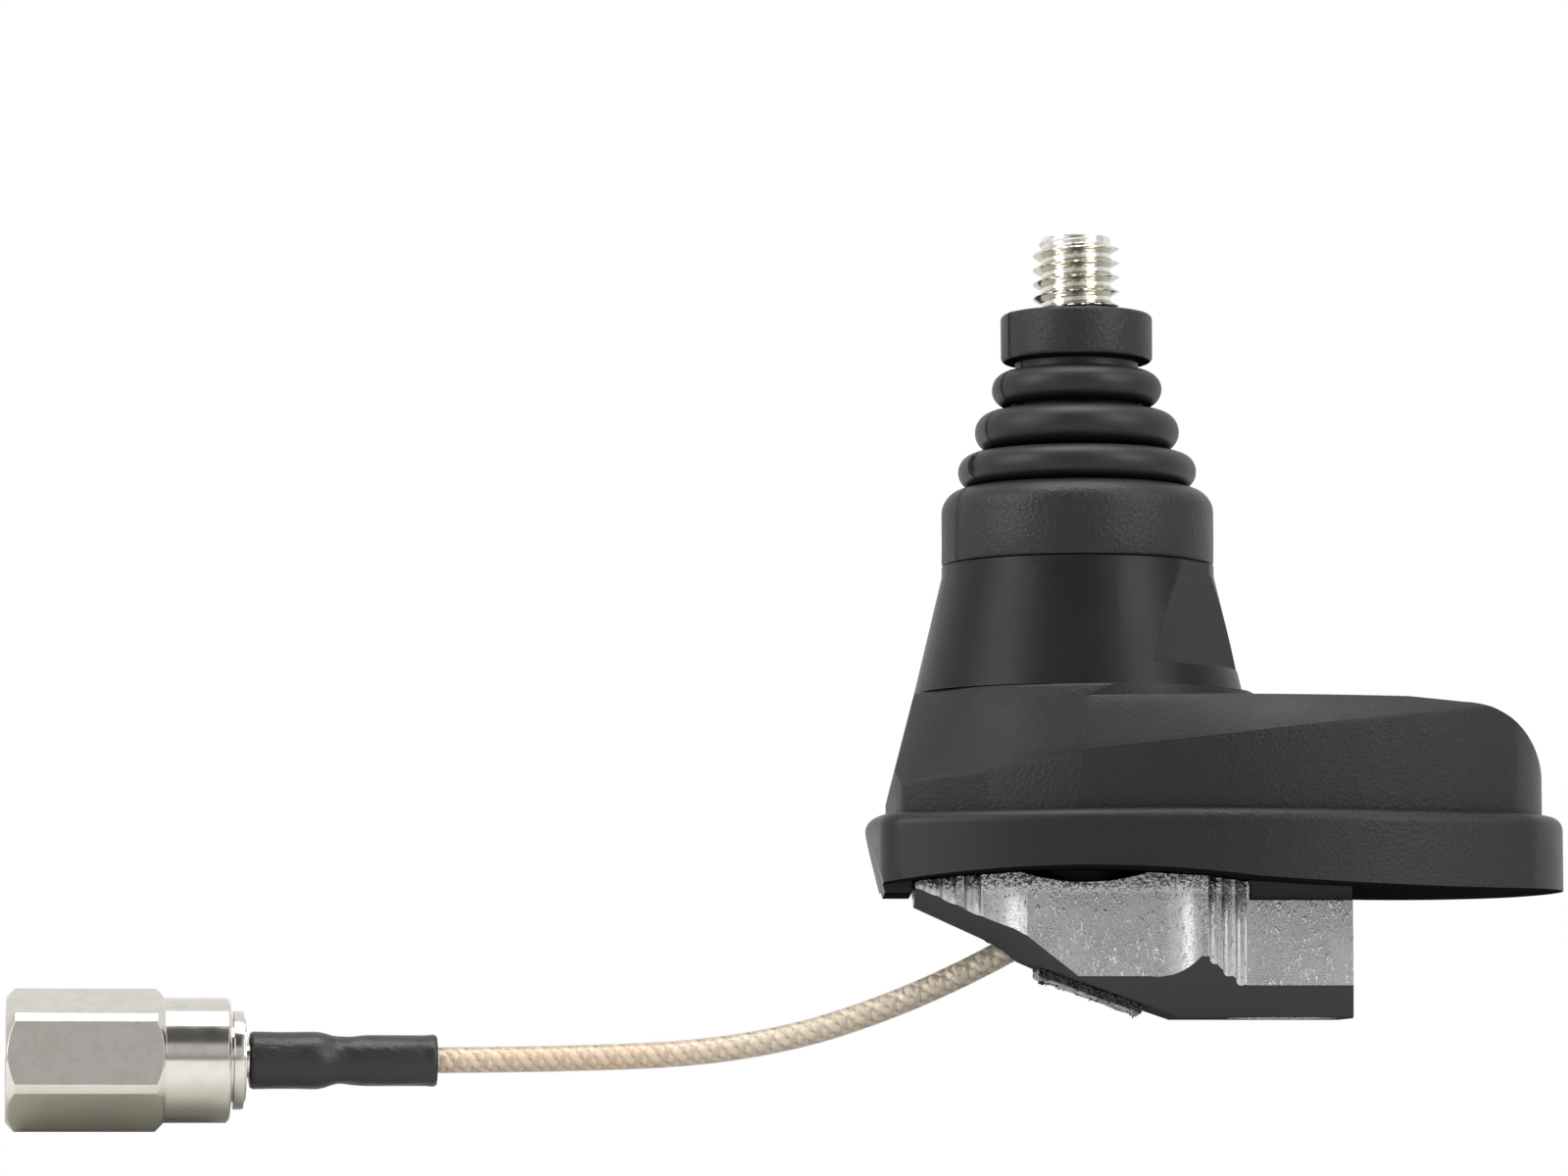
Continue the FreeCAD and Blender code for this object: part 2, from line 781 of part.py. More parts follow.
def route_arcs(points):
    """The centreline of the lead: straight runs joined by tangent arcs, with each arc's radius."""
    edges, radii = [], []
    here = points[0]
    for before, corner, after in zip(points, points[1:], points[2:]):
        into, out = corner - before, after - corner
        half_turn = into.getAngle(out) / 2
        reach = arc_share * min(into.Length, out.Length)
        radius = reach / math.tan(half_turn)
        start = corner - into.normalize() * reach
        end = corner + out.normalize() * reach
        inward = (end - corner).normalize() + (start - corner).normalize()
        middle = corner + inward.normalize() * radius * (1 / math.cos(half_turn) - 1)
        edges += [line(here, start), Part.Arc(start, middle, end).toShape()]
        radii.append(radius)
        here = end
    edges.append(line(here, points[-1]))
    return edges, radii


def lead_tube(radius):
    points = [V(*point) for point in lead_route]
    edges, _ = route_arcs(points)
    section = Part.Wire(Part.makeCircle(radius, points[0], points[1] - points[0]))
    return Part.Wire(edges).makePipeShell([section], True, False)


def print_lead_facts(tube):
    edges, radii = route_arcs([V(*point) for point in lead_route])
    length = sum(edge.Length for edge in edges)
    share = tube.Volume / (math.pi * lead_radius**2 * length)
    print("lead length", round(length, 2), "volume against section times length", round(share, 4))
    print("lead bend radii", [round(radius, 1) for radius in radii])


def on_connector(shape):
    """A shape made along +X, set where the lead ends, with +X towards the mating end."""
    before, end = V(*lead_route[-2]), V(*lead_route[-1])
    along = (end - before).normalize()
    shape.Placement = FreeCAD.Placement(
        end + along * spigot_length, FreeCAD.Rotation(V(1, 0, 0), along)
    ).multiply(shape.Placement)
    return shape


def lathe(start, *steps):
    """A body of revolution about +X from an outline of length and radius, set on the connector."""
    shape = Part.Face(wire(radial, start, *steps)).revolve(V(), V(1, 0, 0), 360)
    return on_connector(shape)


def connector_body():
    flange_end = shoulder_end + end_float + body_flange_height
    return lathe(
        (-spigot_length, 0),
        (-spigot_length, spigot_radius),
        (ring_start, spigot_radius),
        (ring_start, barrel_radius - wall_step),
        (ring_end, barrel_radius - wall_step),
        (ring_end, barrel_radius),
        (shoulder_end + end_float, barrel_radius),
        (shoulder_end + end_float, body_flange_radius),
        (flange_end, body_flange_radius),
        (flange_end, barrel_radius),
        (insulator_end, barrel_radius),
        (insulator_end, socket_radius),
        (shoulder_end, socket_radius),
        (shoulder_end, 0),
    )


def rear_ring():
    inner = barrel_radius - wall_step
    return lathe(
        (back_disc_start, spigot_radius),
        (back_disc_start, back_disc_radius),
        (ring_start, back_disc_radius),
        (ring_start, ring_radius),
        (ring_end, ring_radius),
        (ring_end, inner),
        (ring_start, inner),
        (ring_start, spigot_radius),
    )


def connector_insulator():
    return lathe(
        (shoulder_end, contact_pin_radius),
        (shoulder_end, socket_radius),
        (insulator_end, socket_radius),
        (insulator_end, contact_pin_radius),
    )


def centre_contact():
    tip = contact_pin_radius / 2
    return lathe(
        (shoulder_end, 0),
        (shoulder_end, contact_pin_radius),
        (contact_pin_end - tip, contact_pin_radius),
        (contact_pin_end, tip),
        (contact_pin_end, 0),
    )


def crimp_ferrule():
    return lathe(
        (-spigot_length, spigot_radius),
        (-spigot_length, ferrule_radius),
        (ferrule_length - spigot_length, ferrule_radius),
        (ferrule_length - spigot_length, spigot_radius),
    )


def coupling_nut():
    """A chamfered hexagon with rounded edges and a round collar, free to turn on the barrel."""
    bar = hexagon_rod(nut_flats, nut_end - collar_end)
    ridges = [edge for edge in bar.Edges if abs(edge.tangentAt(edge.FirstParameter).x) > 0.999]
    bar = bar.makeFillet(nut_edge_round, ridges)
    bar.rotate(V(), V(1, 0, 0), -nut_turn)
    bar.translate(V(collar_end, 0, 0))
    top = nut_collar_radius + nut_chamfer
    blunt = wire(
        radial,
        (collar_end, 0),
        (collar_end, nut_collar_radius),
        (collar_end + nut_chamfer, top),
        (nut_end - nut_chamfer, top),
        (nut_end, nut_collar_radius),
        (nut_end, 0),
    )
    bar = bar.common(Part.Face(blunt).revolve(V(), V(1, 0, 0), 360))
    collar = Part.Face(
        wire(
            radial,
            (nut_start, 0),
            (nut_start, nut_collar_radius - nut_lip),
            (nut_start + nut_lip, nut_collar_radius),
            (collar_end, nut_collar_radius),
            (collar_end, 0),
        )
    ).revolve(V(), V(1, 0, 0), 360)
    bore = Part.Face(
        wire(
            radial,
            (nut_start - 1, 0),
            (nut_start - 1, barrel_radius + running_gap),
            (shoulder_end, barrel_radius + running_gap),
            (shoulder_end, thread_bore_radius),
            (nut_end - nut_lip, thread_bore_radius),
            (nut_end + nut_lip, thread_bore_radius + 2 * nut_lip),
            (nut_end + nut_lip, 0),
        )
    ).revolve(V(), V(1, 0, 0), 360)
    return on_connector(bar.fuse(collar).removeSplitter().cut(bore))


def shrink_sleeve():
    """Shrunk tight: fat over the ferrule, waisted behind it, slim over the lead."""
    bore = lead_radius + sleeve_slack
    edge = sleeve_edge
    return lathe(
        (0, ferrule_radius),
        (0, sleeve_fat_radius - edge),
        (-edge, sleeve_fat_radius),
        (-sleeve_fat_end, sleeve_fat_radius),
        (-sleeve_waist_at, sleeve_waist_radius),
        (-sleeve_slim_from, sleeve_slim_radius),
        (edge - sleeve_length, sleeve_slim_radius),
        (-sleeve_length, sleeve_slim_radius - edge),
        (-sleeve_length, bore),
        (-spigot_length - edge, bore),
        (-spigot_length - edge, ferrule_radius),
    )


def main():
    os.makedirs("parts", exist_ok=True)
    coax_lead = lead_tube(lead_radius)
    print_lead_facts(coax_lead)
    pieces = {
        "roof_housing": roof_housing(),
        "mast_turret": mast_turret(),
        "rubber_boot": rubber_boot(),
        "mast_stud": mast_stud(),
        "mast_spring": mast_spring(),
        "spring_plug": spring_plug(),
        "roof_gasket": roof_gasket(),
        "base_plate": base_plate(),
        "circuit_board": circuit_board(),
        "board_screws": board_screws(),
        "screening_can": screening_can(),
        "board_contact": board_contact(),
        "housing_screws": housing_screws(),
        "spigot_collar": spigot_collar(),
        "locating_block": locating_block(),
        "roof_clamp": roof_clamp(),
        "clamp_screw": clamp_screw(),
        "clamp_washer": clamp_washer(),
        "rattle_strip": rattle_strip(),
        "coax_lead": coax_lead,
        "shrink_sleeve": shrink_sleeve(),
        "crimp_ferrule": crimp_ferrule(),
        "connector_body": connector_body(),
        "rear_ring": rear_ring(),
        "connector_insulator": connector_insulator(),
        "centre_contact": centre_contact(),
        "coupling_nut": coupling_nut(),
    }
    for name, shape in pieces.items():
        shape.exportStep(f"parts/{name}.step")
        solids = len(shape.Solids)
        print(name, "valid" if shape.isValid() else "NOT VALID", "solids", solids, "mm3", round(shape.Volume, 1))


main()
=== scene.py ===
import math

import bpy
import bmesh
from mathutils import Matrix, Vector, noise


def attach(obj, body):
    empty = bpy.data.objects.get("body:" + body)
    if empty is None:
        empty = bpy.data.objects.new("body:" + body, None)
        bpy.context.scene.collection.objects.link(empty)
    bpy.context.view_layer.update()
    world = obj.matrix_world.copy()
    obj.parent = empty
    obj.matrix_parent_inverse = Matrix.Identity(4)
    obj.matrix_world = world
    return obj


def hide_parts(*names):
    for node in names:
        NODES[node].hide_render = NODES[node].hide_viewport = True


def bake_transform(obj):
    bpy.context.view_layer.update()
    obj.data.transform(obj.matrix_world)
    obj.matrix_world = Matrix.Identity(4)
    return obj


bl_info = {
    "name": "Car Roof Antenna Foot",
    "version": (1, 0, 0),
    "blender": (4, 5, 0),
    "location": "3D View > Sidebar > Antenna",
    "description": "Dresses a car roof antenna foot and its coaxial lead",
    "category": "Add Mesh",
}

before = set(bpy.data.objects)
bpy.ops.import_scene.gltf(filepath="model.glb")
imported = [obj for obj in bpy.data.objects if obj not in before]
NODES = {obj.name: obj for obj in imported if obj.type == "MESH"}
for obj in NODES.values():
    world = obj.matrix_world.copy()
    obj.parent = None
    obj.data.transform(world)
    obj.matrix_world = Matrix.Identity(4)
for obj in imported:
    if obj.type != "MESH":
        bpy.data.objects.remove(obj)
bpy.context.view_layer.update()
MM = 0.001

# The lead's route, from the board through the clamp to the connector, in metres.
LEAD_ROUTE = (
    (0.00095, 0.0, 0.0076),
    (0.00095, 0.0, -0.00095),
    (-0.0105, 0.0003, -0.00725),
    (-0.0223, 0.0017, -0.01105),
    (-0.0376, 0.00334, -0.01172),
    (-0.05254, 0.00124, -0.01172),
)
SPIGOT_LENGTH = 0.0046

# Heights of the boot and the stud on the mast axis, in millimetres.
TURRET_TOP = 22.25
SKIRT_TOP = 27.65
CAP_TOP = 39.85
STUD_TOP = 45.2

# The camera's place in metres, its lens in millimetres and its tilt up in degrees
CAMERA_PLACE = (-0.0203, -0.405, -0.01669)
CAMERA_LENS = 135
CAMERA_TILT = 5.295


def settings(name):
    return getattr(bpy.context.scene, name)


def length(name, text, value):
    return bpy.props.FloatProperty(name=name, description=text, default=value, unit="LENGTH", precision=5)


def colour(name, text, value):
    return bpy.props.FloatVectorProperty(name=name, description=text, default=value, subtype="COLOR", size=3)


def number(name, text, value):
    return bpy.props.FloatProperty(name=name, description=text, default=value)


def rotation(name, text, value):
    return bpy.props.FloatProperty(name=name, description=text, default=value, unit="ROTATION")


def whole(name, text, value):
    return bpy.props.IntProperty(name=name, description=text, default=value)


class StageSettings(bpy.types.PropertyGroup):
    floor_radius: length("Floor radius", "Radius of the pale floor", 0.32)
    floor_height: length("Floor height", "Height of the floor in the part's frame", -0.01669)
    floor_colour: colour("Floor colour", "Colour of the floor", (0.82, 0.82, 0.82))
    side_level: number("Side level", "Brightness of the room's sides", 0.75)
    side_power: number("Side power", "Watts of each side softbox", 1.9)
    top_power: number("Top power", "Watts of the overhead softbox", 2.6)


class MouldingSettings(bpy.types.PropertyGroup):
    plastic_colour: colour("Plastic colour", "Colour of the housing", (0.010, 0.0104, 0.0114))
    turret_colour: colour("Turret colour", "Colour of the anodised turret", (0.0065, 0.0067, 0.0073))
    rubber_colour: colour("Rubber colour", "Colour of the boot and the gasket", (0.0075, 0.0077, 0.0082))
    grain: length("Grain", "Size of the moulded grain", 0.00024)


class BootSettings(bpy.types.PropertyGroup):
    segments: whole("Segments", "Steps around the boot", 160)
    parting_turn: rotation("Parting line", "Where the mould's parting line runs", 3.58)
    parting_height: length("Parting height", "How far the parting line stands proud", 0.00008)


class StudSettings(bpy.types.PropertyGroup):
    crest_radius: length("Crest radius", "Outer radius of the thread", 0.003)
    root_radius: length("Root radius", "Radius at the root of the thread", 0.0024)
    pitch: length("Pitch", "Rise of the thread in one turn", 0.001)
    metal_colour: colour("Stud colour", "Colour of the plated stud", (0.78, 0.77, 0.71))


class CastingSettings(bpy.types.PropertyGroup):
    edge: length("Edge", "How far the casting's edges are rounded", 0.00014)
    zinc_colour: colour("Zinc colour", "Colour of the casting", (0.5, 0.495, 0.49))
    # Painted shade: the casting's faces that look down are given this dark colour.
    shaded_underside_colour: colour("Painted underside shade", "Painted shade on the casting's lower faces", (0.052, 0.052, 0.054))


class LeadSettings(bpy.types.PropertyGroup):
    radius: length("Radius", "Radius of the lead", 0.0009)
    braid_radius: length("Braid radius", "Radius of the woven screen", 0.00071)
    braid_lay: length("Braid lay", "Length of one turn of a carrier", 0.0036)
    carriers: whole("Carriers", "Carriers wound each way", 4)
    braid_colour: colour("Braid colour", "Colour of the screen under the jacket", (0.7, 0.64, 0.54))
    jacket_colour: colour("Jacket colour", "Colour of the clear jacket", (1.0, 0.95, 0.88))


class ConnectorSettings(bpy.types.PropertyGroup):
    nickel_colour: colour("Nickel colour", "Colour of the nickel plating", (0.66, 0.635, 0.59))
    sleeve_colour: colour("Sleeve colour", "Colour of the heat-shrunk sleeve", (0.012, 0.0125, 0.014))
    nut_turn: rotation("Nut turn", "Turn of the nut on its axis", math.radians(12.5))
    thread_pitch: length("Thread pitch", "Rise of the coupling thread in one turn", 0.00075)


# Material helpers


def surface(name, colour_value, roughness, metallic=0.0, **fixed):
    """A new material, with the constant values set on the shader's own sockets."""
    material = bpy.data.materials.new(name)
    material.use_nodes = True
    shader = material.node_tree.nodes["Principled BSDF"]
    shader.inputs["Base Color"].default_value = (*colour_value, 1.0)
    shader.inputs["Roughness"].default_value = roughness
    shader.inputs["Metallic"].default_value = metallic
    for socket, value in fixed.items():
        shader.inputs[socket.replace("_", " ")].default_value = value
    material.diffuse_color = (*colour_value, 1.0)
    return material


def node(material, kind, inputs=(), **values):
    """A node with its fields set and its inputs linked or filled in by name or number."""
    made = material.node_tree.nodes.new(kind)
    for field, value in values.items():
        setattr(made, field, value)
    for socket, value in dict(inputs).items():
        if isinstance(value, bpy.types.NodeSocket):
            material.node_tree.links.new(value, made.inputs[socket])
        else:
            made.inputs[socket].default_value = value
    return made


def to_shader(material, socket, output):
    material.node_tree.links.new(output, material.node_tree.nodes["Principled BSDF"].inputs[socket])


def place(material, stretch=(1, 1, 1), turn=(0, 0, 0)):
    """Object coordinates, turned and stretched."""
    coordinate = node(material, "ShaderNodeTexCoord")
    mapping = node(material, "ShaderNodeMapping", {"Vector": coordinate.outputs["Object"]})
    mapping.inputs["Scale"].default_value = stretch
    mapping.inputs["Rotation"].default_value = turn
    return mapping.outputs["Vector"]


def cloud(material, size, detail=3.0, stretch=(1, 1, 1), turn=(0, 0, 0), roughness=0.55):
    """Soft noise whose features are about size metres across."""
    where = place(material, stretch, turn)
    inputs = {"Vector": where, "Scale": 1.0 / size, "Detail": detail, "Roughness": roughness}
    return node(material, "ShaderNodeTexNoise", inputs).outputs["Fac"]


def cells(material, size, feature):
    """Distances in a pattern of cells that are about size metres across."""
    inputs = {"Vector": place(material), "Scale": 1.0 / size}
    return node(material, "ShaderNodeTexVoronoi", inputs, feature=feature).outputs["Distance"]


def steps(material, value, low, high, start=0.0, end=1.0):
    """Value, carried from the range low..high to start..end."""
    made = node(
        material,
        "ShaderNodeMapRange",
        {"Value": value, "From Min": low, "From Max": high, "To Min": start, "To Max": end},
        interpolation_type="SMOOTHSTEP",
    )
    return made.outputs["Result"]


def blended(material, share, first, second):
    made = node(material, "ShaderNodeMix", data_type="RGBA")
    for socket, value in (("A", first), ("B", second)):
        target = next(s for s in made.inputs if s.name == socket and s.type == "RGBA")
        if isinstance(value, bpy.types.NodeSocket):
            material.node_tree.links.new(value, target)
        else:
            target.default_value = (*value, 1.0)
    material.node_tree.links.new(share, made.inputs["Factor"])
    return next(s for s in made.outputs if s.type == "RGBA")


def sums(material, operation, first, second):
    return node(material, "ShaderNodeMath", {0: first, 1: second}, operation=operation).outputs["Value"]


def relief(material, height, depth):
    """A bump of that depth in metres."""
    return node(material, "ShaderNodeBump", {"Height": height, "Distance": depth, "Strength": 1.0}).outputs["Normal"]


def facing(material, axis, flat=False):
    """How far the surface, or its flat faces, faces along an axis of the part, from -1 to 1."""
    if flat:
        normal = node(material, "ShaderNodeNewGeometry").outputs["True Normal"]
    else:
        normal = node(material, "ShaderNodeTexCoord").outputs["Normal"]
    split = node(material, "ShaderNodeSeparateXYZ", {"Vector": normal})
    return split.outputs[axis]


def along(material, axis):
    where = node(material, "ShaderNodeTexCoord").outputs["Object"]
    return node(material, "ShaderNodeSeparateXYZ", {"Vector": where}).outputs[axis]


def toned(colour_value, *shares):
    """A colour with its channels multiplied by one share, or by a share each."""
    return tuple(part * share for part, share in zip(colour_value, shares * (3 // len(shares))))


# Finishes


def grained_plastic(name, colour_value, grain, roughness, depth, grained=None, shine=0.2):
    """Spark-eroded plastic or rubber; where a share is given, it is smooth outside that share."""
    made = surface(name, colour_value, roughness, Specular_IOR_Level=shine)
    pebble = cells(made, grain, "SMOOTH_F1")
    fine = cloud(made, grain * 0.55, 2.0)
    height = sums(made, "ADD", pebble, sums(made, "MULTIPLY", fine, 1.3))
    if grained is not None:
        height = sums(made, "MULTIPLY", height, grained(made))
    to_shader(made, "Normal", relief(made, height, depth))
    patch = cloud(made, 0.006, 3.0)
    to_shader(made, "Roughness", steps(made, patch, 0.3, 0.7, roughness - 0.04, roughness + 0.05))
    to_shader(made, "Specular IOR Level", steps(made, facing(made, "Z"), -0.9, -0.5, 0.0, shine))
    tone = blended(made, steps(made, fine, 0.35, 0.65), toned(colour_value, 0.8), colour_value)
    to_shader(made, "Base Color", tone)
    return made


def anodised_metal(name, colour_value):
    """Satin black over fine turned rings, some of them a little lighter."""
    made = surface(name, colour_value, 0.4, Specular_IOR_Level=0.18)
    rings = cloud(made, 0.0016, 4.0, (0.15, 0.15, 14.0))
    to_shader(made, "Normal", relief(made, rings, 0.000008))
    patch = cloud(made, 0.008, 3.0)
    to_shader(made, "Roughness", steps(made, patch, 0.3, 0.7, 0.35, 0.42))
    tone = blended(made, steps(made, rings, 0.4, 0.75), colour_value, toned(colour_value, 1.5))
    to_shader(made, "Base Color", tone)
    return made


def cast_zinc(name, colour_value, shaded_underside_value):
    """Bright die casting: short slanted scratches, a raised crust along the top by the gasket, darker there, and
    painted shade on the lower faces.
    """
    made = surface(name, colour_value, 0.3, Specular_IOR_Level=0.0)
    short = (1.0, 1.0, 0.3)
    scratch = cloud(made, 0.00017, 1.0, short, (0.0, 0.62, 0.0), roughness=0.4)
    cross = cloud(made, 0.0002, 1.0, short, (0.0, -0.5, 0.0), roughness=0.4)
    pits = cloud(made, 0.00012, 2.0)
    skin = cloud(made, 0.003, 3.0)
    crust = cloud(made, 0.00028, 3.0)
    # wall_share is 0 on faces that look down, which get the painted shade colour and no metal.
    wall_share = steps(made, facing(made, "Z", flat=True), -0.2, -0.1)
    top_share = steps(made, along(made, "Z"), -0.0007, 0.0001)
    marks = sums(made, "ADD", steps(made, scratch, 0.63, 0.7), steps(made, cross, 0.64, 0.71))
    rough = sums(made, "ADD", marks, sums(made, "MULTIPLY", pits, 0.35))
    raised_crust = sums(made, "MULTIPLY", sums(made, "MULTIPLY", crust, top_share), 1.6)
    rough = sums(made, "ADD", rough, raised_crust)
    height = sums(made, "MULTIPLY", rough, sums(made, "ADD", wall_share, 0.1))
    to_shader(made, "Normal", relief(made, height, 0.000032))
    to_shader(made, "Roughness", steps(made, skin, 0.3, 0.7, 0.22, 0.3))
    tone = blended(made, steps(made, pits, 0.35, 0.65), toned(colour_value, 0.86), colour_value)
    # Darker colour along the top by the gasket, where the crust noise is high.
    top_darkening = sums(made, "MULTIPLY", top_share, steps(made, crust, 0.46, 0.62))
    tone = blended(made, top_darkening, tone, toned(colour_value, 0.2))
    # Painted shade: faces that look down take the dark underside colour and are not metallic.
    to_shader(made, "Base Color", blended(made, wall_share, shaded_underside_value, tone))
    to_shader(made, "Metallic", wall_share)
    return made


def bright_plating(name, colour_value, roughness):
    """Bright plating with faint stains, fine scratches and painted shade on the lower side."""
    made = surface(name, colour_value, roughness, 1.0)
    blotch = cloud(made, 0.0012, 5.0, roughness=0.65)
    scratch = cloud(made, 0.0012, 4.0, (0.12, 3.0, 3.0))
    speck = cloud(made, 0.00025, 2.0)
    to_shader(made, "Roughness", steps(made, blotch, 0.35, 0.7, roughness, roughness + 0.05))
    stained = toned(colour_value, 0.93, 0.92, 0.9)
    tone = blended(made, steps(made, blotch, 0.4, 0.65), colour_value, stained)
    dotted = steps(made, speck, 0.7, 0.76, 0.0, 0.5)
    shaded_lower_tone = toned(colour_value, 0.66, 0.66, 0.6)
    # Painted shade: faces that look down are coloured darker.
    tone = blended(made, steps(made, facing(made, "Z"), -0.6, -0.2), shaded_lower_tone, tone)
    to_shader(made, "Base Color", blended(made, dotted, tone, toned(colour_value, 0.5)))
    to_shader(made, "Normal", relief(made, scratch, 0.000003))
    return made


def plain_metal(name, colour_value, roughness):
    made = surface(name, colour_value, roughness, 1.0)
    patch = cloud(made, 0.0008, 3.0)
    to_shader(made, "Roughness", steps(made, patch, 0.3, 0.7, roughness - 0.06, roughness + 0.08))
    return made


def shrunk_film(name, colour_value):
    made = surface(name, colour_value, 0.36, Specular_IOR_Level=0.4)
    folds = cloud(made, 0.0007, 4.0, (0.55, 1.0, 1.0), roughness=0.6)
    fine = cloud(made, 0.00016, 2.0)
    height = sums(made, "ADD", folds, sums(made, "MULTIPLY", fine, 0.15))
    to_shader(made, "Normal", relief(made, height, 0.00009))
    to_shader(made, "Roughness", steps(made, folds, 0.3, 0.7, 0.32, 0.42))
    return made


def crumpled_film(name):
    made = surface(name, (0.008, 0.008, 0.009), 0.12)
    creases = cloud(made, 0.0009, 4.0, roughness=0.7)
    to_shader(made, "Normal", relief(made, creases, 0.0005))
    return made


def clear_jacket(name, colour_value):
    made = surface(name, colour_value, 0.14, Transmission_Weight=1.0, IOR=1.3)
    ripple = cloud(made, 0.0011, 2.0)
    to_shader(made, "Normal", relief(made, ripple, 0.00002))
    return made


def woven_wire(name, colour_value):
    """Silvered wire seen through the jacket, warmer towards the connector."""
    made = surface(name, colour_value, 0.4, 0.25)
    drift = cloud(made, 0.012, 2.0)
    warm = toned(colour_value, 0.98, 0.88, 0.82)
    near_end = steps(made, along(made, "X"), -0.034, -0.012, 1.0, 0.0)
    share = sums(made, "MULTIPLY", near_end, steps(made, drift, 0.1, 0.6))
    to_shader(made, "Base Color", blended(made, share, colour_value, warm))
    return made


def lacquered_board(name):
    lacquer, track = (0.02, 0.16, 0.07), (0.06, 0.28, 0.12)
    made = surface(name, lacquer, 0.3)
    edges = cells(made, 0.0022, "DISTANCE_TO_EDGE")
    to_shader(made, "Base Color", blended(made, steps(made, edges, 0.04, 0.07), track, lacquer))
    return made


def plain_polymer(name, colour_value, roughness):
    made = surface(name, colour_value, roughness)
    patch = cloud(made, 0.0015, 3.0)
    to_shader(made, "Roughness", steps(made, patch, 0.3, 0.7, roughness - 0.05, roughness + 0.05))
    return made


# Mesh helpers


def mesh_piece(name, points, faces, material):
    data = bpy.data.meshes.new(name)
    data.from_pydata(points, [], faces)
    data.update()
    data.shade_smooth()
    data.materials.append(material)
    piece = bpy.data.objects.new(name, data)
    bpy.context.scene.collection.objects.link(piece)
    return piece


def outward(piece):
    """Turns every face of a closed mesh to the outside."""
    mesh = bmesh.new()
    mesh.from_mesh(piece.data)
    bmesh.ops.recalc_face_normals(mesh, faces=mesh.faces)
    mesh.to_mesh(piece.data)
    mesh.free()
    return piece


def crease_sharp(piece, degrees):
    piece.data.set_sharp_from_angle(angle=math.radians(degrees))


def finish_node(name, material):
    """Gives a CAD piece its finish."""
    data = NODES[name].data
    data.materials.clear()
    data.materials.append(material)


def node_copy(name, new_name, material):
    """A copy of a CAD piece's mesh, as a new piece that can be worked on."""
    source = NODES[name]
    data = source.data.copy()
    data.name = new_name
    data.materials.clear()
    data.materials.append(material)
    piece = bpy.data.objects.new(new_name, data)
    bpy.context.scene.collection.objects.link(piece)
    return piece


def eased(name, new_name, width, material, body="base", merge=0.8, even=True):
    """A CAD piece again with its sharp edges rounded by width, in the place of that piece."""
    piece = node_copy(name, new_name, material)
    mesh = bmesh.new()
    mesh.from_mesh(piece.data)
    bmesh.ops.remove_doubles(mesh, verts=mesh.verts, dist=1e-6)
    bmesh.ops.dissolve_limit(mesh, angle_limit=math.radians(merge), verts=mesh.verts, edges=mesh.edges)
    mesh.to_mesh(piece.data)
    mesh.free()
    piece.data.shade_smooth()
    bevel = piece.modifiers.new("rounded edges", "BEVEL")
    bevel.width = width
    bevel.segments = 3
    bevel.limit_method = "ANGLE"
    bevel.angle_limit = math.radians(24)
    if even:
        piece.modifiers.new("even light", "WEIGHTED_NORMAL").weight = 80
    apply_modifiers(piece)
    if not even:
        crease_sharp(piece, 36)
    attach(piece, body)
    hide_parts(name)
    return piece


def apply_modifiers(piece):
    graph = bpy.context.evaluated_depsgraph_get()
    data = bpy.data.meshes.new_from_object(piece.evaluated_get(graph))
    old = piece.data
    piece.modifiers.clear()
    piece.data = data
    bpy.data.meshes.remove(old)


def arc(centre, radius, start, end, count):
    """Points of radius and height on an arc, in degrees from the outward direction."""
    points = []
    for step in range(count + 1):
        angle = math.radians(start + (end - start) * step / count)
        points.append((centre[0] + radius * math.cos(angle), centre[1] + radius * math.sin(angle)))
    return points


def spun(profile, angles, shift):
    """Points and faces of a closed ring of revolution, in metres, from a profile in millimetres."""
    points, faces = [], []
    rows, turns = len(profile), len(angles)
    for angle in angles:
        for radius, height in profile:
            grown = radius + shift(angle, radius, height)
            points.append((grown * math.cos(angle) * MM, grown * math.sin(angle) * MM, height * MM))
    for turn in range(turns):
        after = (turn + 1) % turns
        for row in range(rows):
            below = (row + 1) % rows
            faces.append((turn * rows + row, after * rows + row, after * rows + below, turn * rows + below))
    return points, faces


